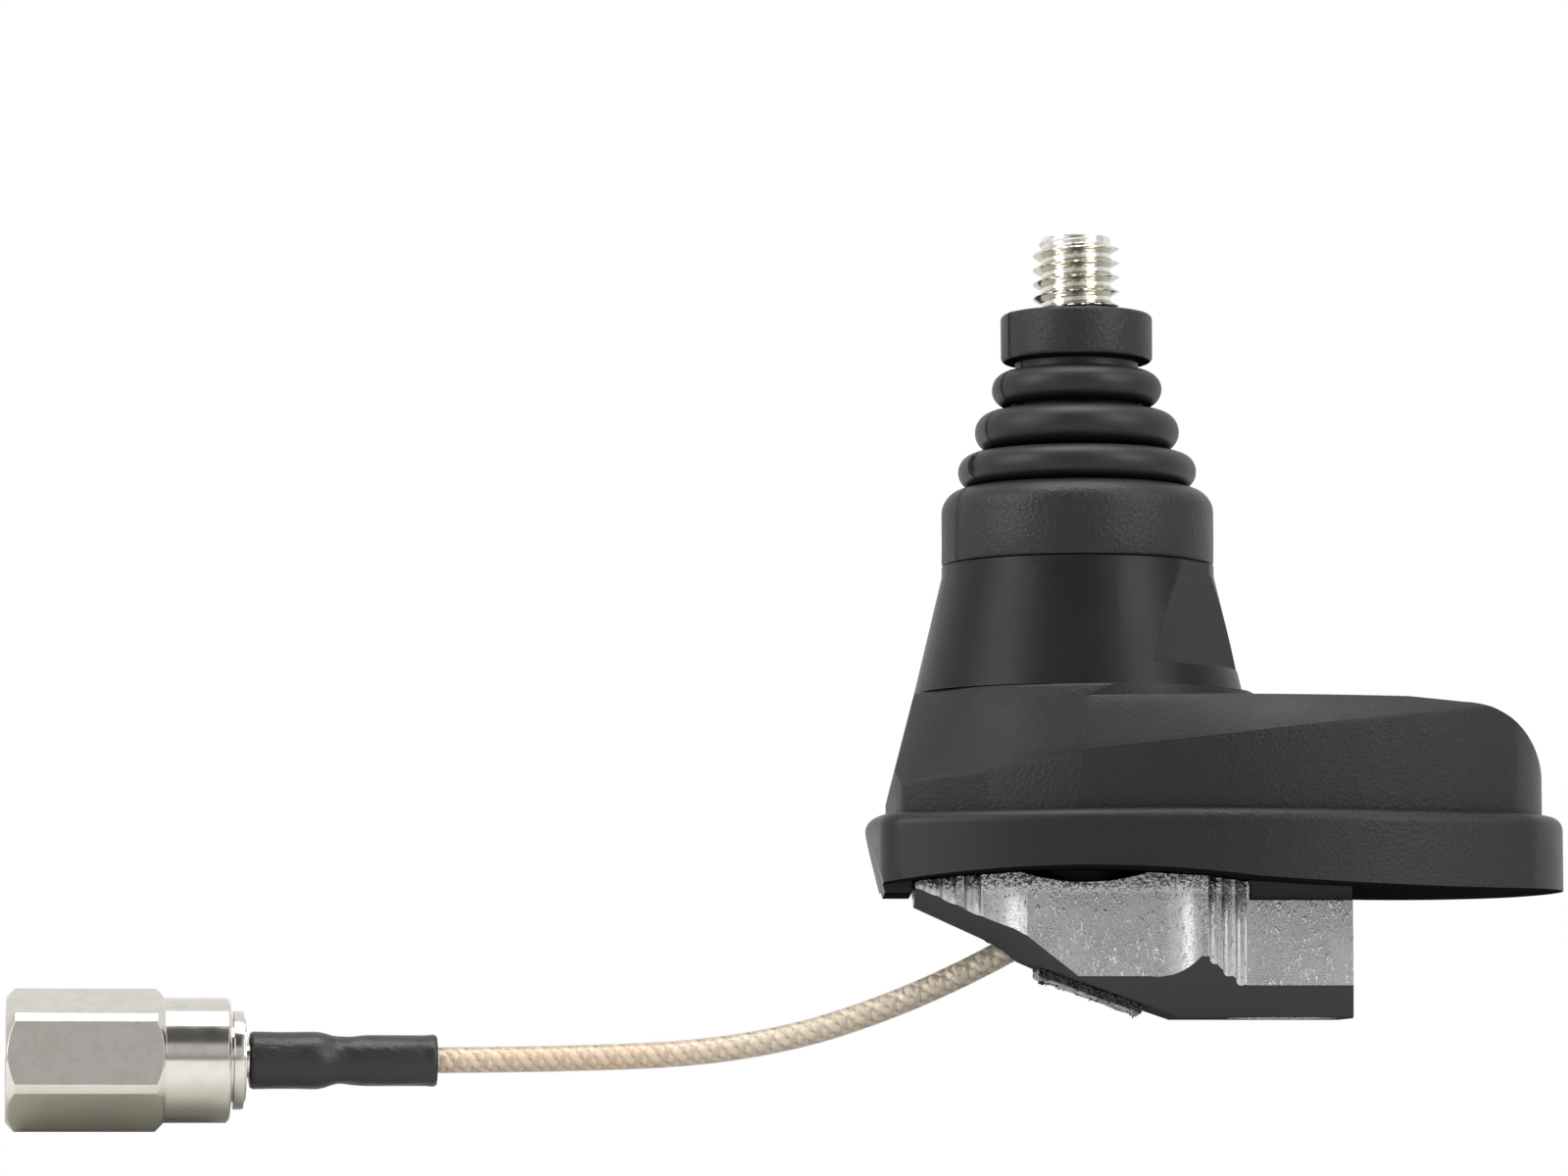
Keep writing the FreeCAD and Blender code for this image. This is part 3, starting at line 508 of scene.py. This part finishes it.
class ANTENNA_OT_stage(bpy.types.Operator):
    """Sets the camera, the pale floor, the white surround and the softboxes"""

    bl_idname = "antenna.stage"
    bl_label = "Stage"

    # Places on the room's ramp, and the brightness at each
    room_levels = ((0.14, 0.3), (0.2, 0.13), (0.44, 0.13), (0.5, 0.26), (0.55, 0.4))
    room_levels += ((0.6, 0.6), (0.72, 0.66), (0.78, 0.1), (0.95, 0.08), (0.985, 0.9))
    first_level, last_level = 0.3, 1.0
    plain_level = 0.42

    def execute(self, context):
        stage = settings("antenna_stage")
        scene = context.scene
        scene.view_settings.view_transform = "Standard"
        camera = bpy.data.objects.new("camera", bpy.data.cameras.new("camera"))
        camera.data.lens = CAMERA_LENS
        camera.data.sensor_width = 36
        camera.data.clip_start = 0.01
        camera.location = CAMERA_PLACE
        camera.rotation_euler = (math.radians(90 + CAMERA_TILT), 0, 0)
        scene.collection.objects.link(camera)
        scene.camera = camera
        self.add_floor(stage)
        self.add_surround(scene, stage)
        self.add_softbox("left softbox", -64, 24, 0.6, (0.3, 0.42), stage.side_power)
        self.add_softbox("right softbox", 50, 26, 0.6, (0.3, 0.42), stage.side_power)
        self.add_softbox("top softbox", 0, 82, 0.55, (0.5, 0.3), stage.top_power)
        return {"FINISHED"}

    def add_floor(self, stage):
        steps_round = 96
        radius, height = stage.floor_radius, stage.floor_height
        angles = [math.tau * s / steps_round for s in range(steps_round)]
        points = [(radius * math.cos(angle), radius * math.sin(angle), height) for angle in angles]
        material = surface("pale floor", stage.floor_colour, 0.7)
        patch = cloud(material, 0.05, 2.0)
        to_shader(material, "Roughness", steps(material, patch, 0.3, 0.7, 0.65, 0.75))
        data = bpy.data.meshes.new("floor")
        data.from_pydata(points, [], [tuple(range(steps_round))])
        data.materials.append(material)
        floor = bpy.data.objects.new("floor", data)
        bpy.context.scene.collection.objects.link(floor)

    def add_surround(self, scene, stage):
        """White behind the object, greyer at its sides and dim in front, and a plain grey light."""
        world = bpy.data.worlds.new("surround")
        world.use_nodes = True
        scene.world = world
        tree = world.node_tree
        back = tree.nodes["Background"]
        path = tree.nodes.new("ShaderNodeLightPath")
        coordinate = tree.nodes.new("ShaderNodeTexCoord")
        split = tree.nodes.new("ShaderNodeSeparateXYZ")
        tree.links.new(coordinate.outputs["Generated"], split.inputs["Vector"])
        height = tree.nodes.new("ShaderNodeMath")
        height.operation = "MULTIPLY_ADD"
        height.inputs[1].default_value = height.inputs[2].default_value = 0.5
        tree.links.new(split.outputs["Z"], height.inputs[0])
        room = tree.nodes.new("ShaderNodeValToRGB")
        ramp = room.color_ramp
        for place_on, level in self.room_levels:
            ramp.elements.new(place_on).color = (level, level, level, 1.0)
        for stop, level in ((ramp.elements[0], self.first_level), (ramp.elements[-1], self.last_level)):
            stop.color = (level, level, level, 1.0)
        tree.links.new(height.outputs["Value"], room.inputs["Fac"])

        beside = tree.nodes.new("ShaderNodeMath")
        beside.operation = "ABSOLUTE"
        tree.links.new(split.outputs["X"], beside.inputs[0])

        def ranged(value, low, high):
            made = tree.nodes.new("ShaderNodeMapRange")
            made.interpolation_type = "SMOOTHSTEP"
            made.inputs["From Min"].default_value, made.inputs["From Max"].default_value = low, high
            tree.links.new(value, made.inputs["Value"])
            return made.outputs["Result"]

        def mixed(share, first, second):
            made = tree.nodes.new("ShaderNodeMix")
            made.data_type = "FLOAT"
            tree.links.new(share, made.inputs["Factor"])
            for socket, value in (("A", first), ("B", second)):
                target = next(s for s in made.inputs if s.name == socket and s.type == "VALUE")
                if isinstance(value, bpy.types.NodeSocket):
                    tree.links.new(value, target)
                else:
                    target.default_value = value
            return next(s for s in made.outputs if s.type == "VALUE")

        to_side = ranged(beside.outputs["Value"], 0.18, 0.42)
        shown = mixed(to_side, room.outputs["Color"], stage.side_level)
        shown = mixed(ranged(split.outputs["Y"], 0.05, 0.4), shown, 1.0)
        strength = mixed(path.outputs["Is Glossy Ray"], self.plain_level, shown)
        strength = mixed(path.outputs["Is Transmission Ray"], strength, 1.0)
        strength = mixed(path.outputs["Is Camera Ray"], strength, 1.0)
        tree.links.new(strength, back.inputs["Strength"])
        back.inputs["Color"].default_value = (1.0, 1.0, 1.0, 1.0)

    def add_softbox(self, name, turn, rise, distance, size, power):
        light = bpy.data.lights.new(name, "AREA")
        light.shape = "RECTANGLE"
        light.size, light.size_y = size
        light.energy = power
        lamp = bpy.data.objects.new(name, light)
        turn, rise = math.radians(turn), math.radians(rise)
        level = math.cos(rise)
        away = Vector((math.sin(turn) * level, -math.cos(turn) * level, math.sin(rise)))
        target = Vector((0.0, 0.0, 0.012))
        lamp.location = target + away * distance
        lamp.rotation_euler = away.to_track_quat("Z", "Y").to_euler()
        bpy.context.scene.collection.objects.link(lamp)


class ANTENNA_OT_lead(bpy.types.Operator):
    """Makes the coaxial lead, a clear jacket over a woven screen, and the outside of its connector"""

    bl_idname = "antenna.lead"
    bl_label = "Coaxial lead"

    # Shrink sleeve, in millimetres: how far from its front edge, and its radius there
    sleeve_knots = ((0.25, 1.98), (2.4, 1.95), (4.5, 1.98), (6.3, 1.63), (8.3, 1.76), (12.1, 1.75), (12.7, 1.8))
    sleeve_bore = 1.0
    sleeve_length = 12.9
    waist_at, waist_reach = 6.2, 1.6

    def execute(self, context):
        lead = settings("antenna_lead")
        jacket = self.curve("coax_jacket", lead.radius)
        jacket.data.materials.append(clear_jacket("clear jacket", lead.jacket_colour))
        line = self.centreline()
        screen = self.screen(line, lead)
        core_gap = 0.00007
        core = self.curve("coax_core", lead.braid_radius - core_gap)
        # A darker copy of the braid colour under the screen: painted shade in the gaps between the carriers.
        core.data.materials.append(woven_wire("painted shade under screen", toned(lead.braid_colour, 0.6)))
        for piece in (jacket, screen, core):
            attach(piece, "base")
        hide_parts("coax_lead")
        names = ("crimp_ferrule", "connector_body", "connector_insulator", "centre_contact")
        connector = [NODES[name] for name in names] + self.connector_pieces()
        return {"FINISHED"}

    def connector_pieces(self):
        """The ring, the nut turned on its axis until one flat faces the front, and the sleeve."""
        look = settings("antenna_connector")
        nickel = bright_plating("nickel plating", look.nickel_colour, 0.13)
        ring = eased("rear_ring", "plated_ring", 0.00008, nickel)
        nut = eased("coupling_nut", "plated_nut", 0.00012, nickel, "nut")
        end, before = Vector(LEAD_ROUTE[-1]), Vector(LEAD_ROUTE[-2])
        forward = (end - before).normalized()
        spin = Matrix.Rotation(look.nut_turn, 4, forward)
        nut.data.transform(Matrix.Translation(end) @ spin @ Matrix.Translation(-end))
        return [ring, nut, self.sleeve(look, end, forward)]

    def sleeve(self, look, end, forward):
        """The film's own smooth form: full over the ferrule, drawn in past it and slim on the lead."""
        film = NODES["shrink_sleeve"]
        edge = max((film.matrix_world @ vertex.co - end).dot(forward) for vertex in film.data.vertices)
        outer = [(self.sleeve_bore, 0.0), (1.6, 0.0), (1.86, -0.06)]
        for (start, first), (stop, second) in zip(self.sleeve_knots, self.sleeve_knots[1:]):
            rows = max(2, round((stop - start) / 0.2))
            for row in range(rows):
                share = (1 - math.cos(math.pi * row / rows)) / 2
                outer.append((first + (second - first) * share, -start - (stop - start) * row / rows))
        outer += [(1.8, -12.7), (1.7, -self.sleeve_length), (self.sleeve_bore, -self.sleeve_length)]

        def shift(angle, radius, height):
            """Shallow wrinkles round the waist, on the outside only."""
            if radius <= 1.5:
                return 0.0
            waist = math.exp(-(((height + self.waist_at) / self.waist_reach) ** 2))
            broad, narrow = math.sin(5 * angle + 2.1 * height), math.sin(9 * angle - 4.0 * height)
            return 0.022 * waist * broad + 0.012 * waist * narrow

        turns_round = 72
        angles = [math.tau * turn / turns_round for turn in range(turns_round)]
        points, faces = spun(outer, angles, shift)
        film_material = shrunk_film("shrunk film", look.sleeve_colour)
        piece = outward(mesh_piece("shrunk_sleeve", points, faces, film_material))
        crease_sharp(piece, 50)
        turn = forward.to_track_quat("Z", "Y").to_matrix().to_4x4()
        piece.data.transform(Matrix.Translation(end + forward * edge) @ turn)
        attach(piece, "base")
        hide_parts("shrink_sleeve")
        return piece

    def curve(self, name, bevel):
        """A round cord on the lead's route."""
        data = bpy.data.curves.new(name, "CURVE")
        data.dimensions = "3D"
        data.resolution_u = 24
        data.bevel_depth = bevel
        data.bevel_resolution = 6
        data.use_fill_caps = True
        spline = data.splines.new("NURBS")
        spline.points.add(len(LEAD_ROUTE) - 1)
        for point, where in zip(spline.points, LEAD_ROUTE):
            point.co = (*where, 1.0)
        spline.order_u = 3
        spline.use_endpoint_u = True
        piece = bpy.data.objects.new(name, data)
        bpy.context.scene.collection.objects.link(piece)
        return piece

    def centreline(self):
        """Even steps along the route's own spline, each with two directions across it."""
        bare = self.curve("lead_line", 0.0)
        bare.data.use_fill_caps = False
        graph = bpy.context.evaluated_depsgraph_get()
        data = bpy.data.meshes.new_from_object(bare.evaluated_get(graph))
        points = [vertex.co.copy() for vertex in data.vertices]
        bpy.data.objects.remove(bare)
        bpy.data.meshes.remove(data)
        step = 0.00014
        even, walked, wanted = [], 0.0, 0.0
        for before, after in zip(points, points[1:]):
            run = (after - before).length
            while wanted <= walked + run:
                even.append(before.lerp(after, (wanted - walked) / run))
                wanted += step
            walked += run
        side = Vector((0, 1, 0))
        line = []
        for index, point in enumerate(even):
            forward = (even[min(index + 1, len(even) - 1)] - even[max(index - 1, 0)]).normalized()
            side = (side - forward * side.dot(forward)).normalized()
            line.append((point, side, forward.cross(side), index * step))
        return line

    def screen(self, line, lead):
        """Flat carriers of fine wire that pass over and under each other."""
        points, faces = [], []
        half_columns = 7
        across = [share / half_columns for share in range(-half_columns, half_columns + 1)]
        lift, strand_height, crown = 0.00004, 0.000012, 0.00005
        half_band = math.pi / lead.carriers * 0.8
        tones = []
        for way in (1, -1):
            for carrier in range(lead.carriers):
                first = len(points)
                for centre, side, up, distance in line:
                    angle = way * math.tau * distance / lead.braid_lay + math.tau * carrier / lead.carriers
                    phase = lead.carriers * math.tau * distance / lead.braid_lay + math.pi * carrier
                    weave = lift * way * math.cos(phase)
                    for share in across:
                        strand = strand_height * math.cos(share * half_columns * math.pi)
                        radius = lead.braid_radius + weave + strand - crown * share * share
                        turn = angle + way * half_band * share
                        points.append(centre + (side * math.cos(turn) + up * math.sin(turn)) * radius)
                for row in range(len(line) - 1):
                    for column in range(len(across) - 1):
                        a = first + row * len(across) + column
                        faces.append((a, a + 1, a + 1 + len(across), a + len(across)))
                        tones.append(0 if way > 0 else 1)
        # Painted light: carriers wound one way keep the braid colour, and those wound the other way take a darker
        # shaded tone, standing in for how the light catches each lay.
        bright = woven_wire("bright carriers", lead.braid_colour)
        screen = mesh_piece("coax_screen", points, faces, bright)
        screen.data.materials.append(woven_wire("shaded carriers", toned(lead.braid_colour, 0.78)))
        screen.data.polygons.foreach_set("material_index", tones)
        return screen


class ANTENNA_OT_boot(bpy.types.Operator):
    """Makes the ribbed rubber boot and the spring in it"""

    bl_idname = "antenna.boot"
    bl_label = "Boot and spring"

    # Each fold's outer radius, foot and top, and the radius of the neck above it, in millimetres
    folds = ((8.24, 27.65, 30.11, 4.85), (7.07, 30.25, 33.05, 4.2), (5.88, 33.39, 35.86, 4.25))
    # The skirt, the bore and the rubber's thickness in the folds, in millimetres
    skirt_radius = 9.4
    skirt_rounding = 1.7
    bore = 3.35
    fold_wall = 1.15
    fold_floor = 0.85

    def outline(self):
        """The closed outline of radius and height in millimetres, from the foot up and back down inside."""
        skirt, rounding = self.skirt_radius, self.skirt_rounding
        outer = [(9.1, TURRET_TOP), (9.24, TURRET_TOP + 0.04), (9.36, TURRET_TOP + 0.16)]
        outer += [(skirt, TURRET_TOP + 0.3), (skirt, 24.0)]
        outer += arc((7.7, SKIRT_TOP - rounding), rounding, 0, 90, 10) + [(7.3, SKIRT_TOP)]
        for rim, low, high, neck in self.folds:
            middle, half = (low + high) / 2, (high - low) / 2
            foot = outer[-1][0]
            if foot > rim - half:
                outer.append((foot - 0.12, low + 0.02))
            else:
                pinch = 0.3 + 0.35 * (rim - half - foot)
                outer += [(foot, low + pinch), (foot + 0.1, low + pinch * 0.78)]
                outer.append(((foot + rim - half) / 2 + 0.1, low + pinch * 0.3))
            outer += arc((rim - half, middle), half, -80, 76, 16)
            outer += [((neck + rim - half) / 2, high), (neck + 0.1, high + 0.03), (neck, high + 0.1)]
        outer += [(4.25, 36.42), (4.4, 36.52), (4.8, 36.53)]
        outer += arc((4.9, 36.88), 0.35, -80, 0, 5) + arc((4.9, 39.5), 0.35, 0, 90, 5)
        outer += [(3.5, CAP_TOP), (2.66, CAP_TOP - 0.06), (2.6, CAP_TOP - 0.3)]
        inner = [(2.6, 38.7), (4.1, 38.7), (4.1, 37.2), (self.bore, 37.2)]
        for rim, low, high, neck in reversed(self.folds):
            deep, top, floor = rim - self.fold_wall, high - self.fold_floor, low + self.fold_floor
            inner += [(self.bore, top), (deep, top), (deep, floor), (self.bore, floor)]
        return outer + inner + [(self.bore, 26.2), (8.25, 26.2), (8.25, TURRET_TOP)]

    def execute(self, context):
        boot = settings("antenna_boot")
        colour_value = settings("antenna_mouldings").rubber_colour
        grain = settings("antenna_mouldings").grain
        seam = boot.parting_turn
        half_seam = math.radians(0.5)
        extra = [s + k * half_seam for s in (seam, seam - math.pi) for k in (-2, -1, 0, 1, 2)]
        plain = [math.tau * s / boot.segments for s in range(boot.segments)]
        plain = [a for a in plain if all(abs(a - e) > half_seam for e in extra)]
        angles = sorted(plain + extra)
        proud = boot.parting_height / MM

        def shift(angle, radius, height):
            """How far the parting line, its flash on the lowest fold and a slight waver lift the surface."""
            if radius < 4.19:
                return 0.0
            near = min(abs(angle - seam), abs(angle - seam + math.pi)) / half_seam
            raised = proud * max(0.0, 1.0 - near)
            if abs(angle - seam) < 1.1 * half_seam and 28.3 < height < 29.9 and radius > 7:
                raised += 0.16
            waver = noise.noise((math.cos(angle) * 4, math.sin(angle) * 4, height * 0.9))
            return raised + 0.02 * waver

        points, faces = spun(self.outline(), angles, shift)

        def grained(made):
            height = along(made, "Z")
            skirt = steps(made, height, SKIRT_TOP * MM - 0.0012, SKIRT_TOP * MM - 0.0004, 1.0, 0.0)
            cap = steps(made, height, 0.0362, 0.0368)
            return sums(made, "ADD", sums(made, "ADD", skirt, cap), 0.22)

        material = grained_plastic("moulded rubber", colour_value, 1.3 * grain, 0.44, 0.00003, grained, 0.36)
        piece = outward(mesh_piece("boot", points, faces, material))
        crease_sharp(piece, 50)
        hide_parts("rubber_boot")
        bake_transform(piece)
        wire_finish = plain_metal("spring wire", (0.6, 0.6, 0.6), 0.25)
        spring = node_copy("mast_spring", "coil_spring", wire_finish)
        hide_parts("mast_spring")
        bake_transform(spring)
        return {"FINISHED"}


class ANTENNA_OT_stud(bpy.types.Operator):
    """Makes the threaded mast stud"""

    bl_idname = "antenna.stud"
    bl_label = "Mast stud"

    def execute(self, context):
        stud = settings("antenna_stud")
        crest, root, pitch = (value / MM for value in (stud.crest_radius, stud.root_radius, stud.pitch))
        turns_round, rows = 96, 124
        start, end = CAP_TOP - 0.9, STUD_TOP
        body = [(0.0, 34.3), (1.7, 34.3), (2.0, 34.6), (2.0, 37.2), (4.1, 37.2), (4.1, 38.7), (root, 38.7)]
        heights = [start + (end - start) * row / rows for row in range(rows + 1)]
        points, faces = [], []
        profile_rows = len(body) + len(heights) + 1
        for turn in range(turns_round):
            angle = math.tau * turn / turns_round
            ring = list(body)
            for height in heights:
                share = ((height - angle / math.tau * pitch) / pitch) % 1.0
                rise = max(0.0, 1.0 - abs(share - 0.5) / 0.36)
                sharp = min(1.0, rise * 1.08)
                fade = min(1.0, max(0.0, (end - height - 0.12) / 0.5))
                radius = root + (crest - root) * sharp * fade
                radius = min(radius, crest - 0.62 + (end - height) + 0.02)
                ring.append((radius, height))
            ring.append((0.0, STUD_TOP))
            points += [(r * math.cos(angle) * MM, r * math.sin(angle) * MM, z * MM) for r, z in ring]
        for turn in range(turns_round):
            after = (turn + 1) % turns_round
            for row in range(profile_rows - 1):
                a, b = turn * profile_rows + row, after * profile_rows + row
                faces.append((a, b, b + 1, a + 1))
        metal = bright_plating("zinc plating", stud.metal_colour, 0.14)
        piece = mesh_piece("threaded_stud", points, faces, metal)
        mesh = bmesh.new()
        mesh.from_mesh(piece.data)
        bmesh.ops.remove_doubles(mesh, verts=mesh.verts, dist=1e-7)
        bmesh.ops.recalc_face_normals(mesh, faces=mesh.faces)
        mesh.to_mesh(piece.data)
        mesh.free()
        piece.data.shade_smooth()
        crease_sharp(piece, 42)
        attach(piece, "mast")
        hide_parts("mast_stud")
        return {"FINISHED"}


class ANTENNA_OT_mouldings(bpy.types.Operator):
    """Finishes the housing, the turret, the gasket and what is inside them"""

    bl_idname = "antenna.mouldings"
    bl_label = "Housing, turret and gasket"

    def execute(self, context):
        look = settings("antenna_mouldings")
        finishes = {
            "spigot_collar": anodised_metal("black collar", look.turret_colour),
            "locating_block": plain_polymer("block polymer", (0.006, 0.006, 0.0065), 0.5),
            "base_plate": plain_metal("cast plate", (0.5, 0.5, 0.51), 0.45),
            "circuit_board": lacquered_board("board lacquer"),
            "board_screws": plain_metal("small screws", (0.6, 0.6, 0.58), 0.3),
            "housing_screws": plain_metal("housing screws", (0.6, 0.6, 0.58), 0.3),
            "screening_can": plain_metal("tinned sheet", (0.68, 0.68, 0.68), 0.3),
            "board_contact": plain_metal("contact brass", (0.75, 0.6, 0.32), 0.25),
            "spring_plug": plain_metal("turned brass", (0.75, 0.58, 0.3), 0.25),
            "clamp_screw": plain_metal("clamp screw plating", (0.42, 0.42, 0.42), 0.3),
            "clamp_washer": plain_metal("washer plating", (0.5, 0.5, 0.5), 0.3),
        }
        for name, material in finishes.items():
            finish_node(name, material)
        plastic, rubber, grain = look.plastic_colour, look.rubber_colour, look.grain
        housing = grained_plastic("housing grain", plastic, grain, 0.46, 0.00004, self.below_crease, 0.27)
        eased("roof_housing", "moulded_housing", 0.00018, housing, merge=0.05, even=False)
        anodising = anodised_metal("black anodising", look.turret_colour)
        eased("mast_turret", "turned_turret", 0.00016, anodising)
        gasket = grained_plastic("gasket grain", rubber, grain, 0.42, 0.00003, self.to_tail, 0.3)
        eased("roof_gasket", "moulded_gasket", 0.0004, gasket)
        return {"FINISHED"}

    def below_crease(self, made):
        """Full grain below the crease that climbs to the tail, and a light one above it."""
        crease_climb = math.radians(7.2)
        climb = sums(made, "MULTIPLY", along(made, "X"), -math.tan(crease_climb))
        over = sums(made, "ADD", along(made, "Z"), climb)
        return steps(made, over, 0.0083, 0.0087, 1.0, 0.35)

    def to_tail(self, made):
        """Full grain on the gasket's tail and a trace of it at the nose."""
        return steps(made, along(made, "X"), -0.004, 0.008, 0.12, 1.0)


class ANTENNA_OT_clamp(bpy.types.Operator):
    """Makes the zinc clamp with the soft edges of a casting, and the crumpled strip under it"""

    bl_idname = "antenna.clamp"
    bl_label = "Clamp and strip"

    def execute(self, context):
        casting = settings("antenna_casting")
        material = cast_zinc("cast zinc", casting.zinc_colour, casting.shaded_underside_colour)
        eased("roof_clamp", "zinc_clamp", casting.edge, material)
        strip = node_copy("rattle_strip", "crumpled_strip", crumpled_film("crumpled film"))
        remesh = strip.modifiers.new("even skin", "REMESH")
        remesh.mode = "VOXEL"
        remesh.voxel_size = 0.00012
        remesh.use_smooth_shade = True
        apply_modifiers(strip)
        crumple_height, crumple_inset = 0.16, 0.12
        for vertex in strip.data.vertices:
            where = vertex.co / MM
            crumple = noise.fractal(where * 0.9, 1.0, 2.1, 4) * crumple_height - crumple_inset
            vertex.co += vertex.normal * crumple * MM
        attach(strip, "base")
        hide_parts("rattle_strip")
        return {"FINISHED"}


class ANTENNA_OT_connector(bpy.types.Operator):
    """Finishes the connector and cuts the thread inside its nut"""

    bl_idname = "antenna.connector"
    bl_label = "Connector"

    def execute(self, context):
        look = settings("antenna_connector")
        nickel = bpy.data.materials["nickel plating"]
        finish_node("connector_body", nickel)
        finish_node("crimp_ferrule", plain_metal("ferrule plating", (0.6, 0.58, 0.52), 0.3))
        finish_node("connector_insulator", plain_polymer("white insulator", (0.8, 0.8, 0.77), 0.4))
        finish_node("centre_contact", plain_metal("gold flash", (0.85, 0.66, 0.3), 0.2))
        self.add_thread(look, nickel)
        return {"FINISHED"}

    def add_thread(self, look, nickel):
        """The coupling thread, a ring of V-shaped turns in the nut's bore."""
        end, before = Vector(LEAD_ROUTE[-1]), Vector(LEAD_ROUTE[-2])
        forward = (end - before).normalized()
        side = forward.cross(Vector((0, 0, 1))).normalized()
        up = side.cross(forward)
        origin = end + forward * SPIGOT_LENGTH
        start, stop = 0.0109, 0.0161
        rows, turns_round = 84, 72
        outer, depth = 0.00362, 0.00036
        fade_in, fade_out = 0.0006, 0.0004
        points, faces = [], []
        for turn in range(turns_round):
            angle = math.tau * turn / turns_round
            across = side * math.cos(angle) + up * math.sin(angle)
            for row in range(rows + 1):
                distance = start + (stop - start) * row / rows
                share = ((distance - angle / math.tau * look.thread_pitch) / look.thread_pitch) % 1.0
                fade = min(1.0, (distance - start) / fade_in, (stop - distance) / fade_out)
                radius = outer - depth * (1.0 - abs(share - 0.5) * 2.0) * max(0.0, fade)
                points.append(origin + forward * distance + across * radius)
        width = rows + 1
        for turn in range(turns_round):
            after = (turn + 1) % turns_round
            for row in range(rows):
                a, b = turn * width + row, after * width + row
                faces.append((a, a + 1, b + 1, b))
        thread = mesh_piece("coupling_thread", points, faces, nickel)
        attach(thread, "nut")


class ANTENNA_PT_panel(bpy.types.Panel):
    """Lists the pieces of the antenna foot"""

    bl_idname = "ANTENNA_PT_panel"
    bl_label = "Antenna"
    bl_space_type = "VIEW_3D"
    bl_region_type = "UI"
    bl_category = "Antenna"

    def draw(self, context):
        for operator in OPERATORS:
            self.layout.operator(operator.bl_idname)


GROUPS = {
    "antenna_stage": StageSettings,
    "antenna_mouldings": MouldingSettings,
    "antenna_boot": BootSettings,
    "antenna_stud": StudSettings,
    "antenna_casting": CastingSettings,
    "antenna_lead": LeadSettings,
    "antenna_connector": ConnectorSettings,
}
OPERATORS = (
    ANTENNA_OT_stage,
    ANTENNA_OT_lead,
    ANTENNA_OT_boot,
    ANTENNA_OT_stud,
    ANTENNA_OT_mouldings,
    ANTENNA_OT_clamp,
    ANTENNA_OT_connector,
)


def register():
    for group in GROUPS.values():
        bpy.utils.register_class(group)
    for name, group in GROUPS.items():
        setattr(bpy.types.Scene, name, bpy.props.PointerProperty(type=group))
    for operator in OPERATORS:
        bpy.utils.register_class(operator)
    bpy.utils.register_class(ANTENNA_PT_panel)


def unregister():
    bpy.utils.unregister_class(ANTENNA_PT_panel)
    for operator in reversed(OPERATORS):
        bpy.utils.unregister_class(operator)
    for name, group in GROUPS.items():
        delattr(bpy.types.Scene, name)
        bpy.utils.unregister_class(group)


def main():
    register()
    bpy.ops.antenna.stage()
    bpy.ops.antenna.lead()
    bpy.ops.antenna.boot()
    bpy.ops.antenna.stud()
    bpy.ops.antenna.mouldings()
    bpy.ops.antenna.clamp()
    bpy.ops.antenna.connector()


if __name__ == "__main__":
    main()
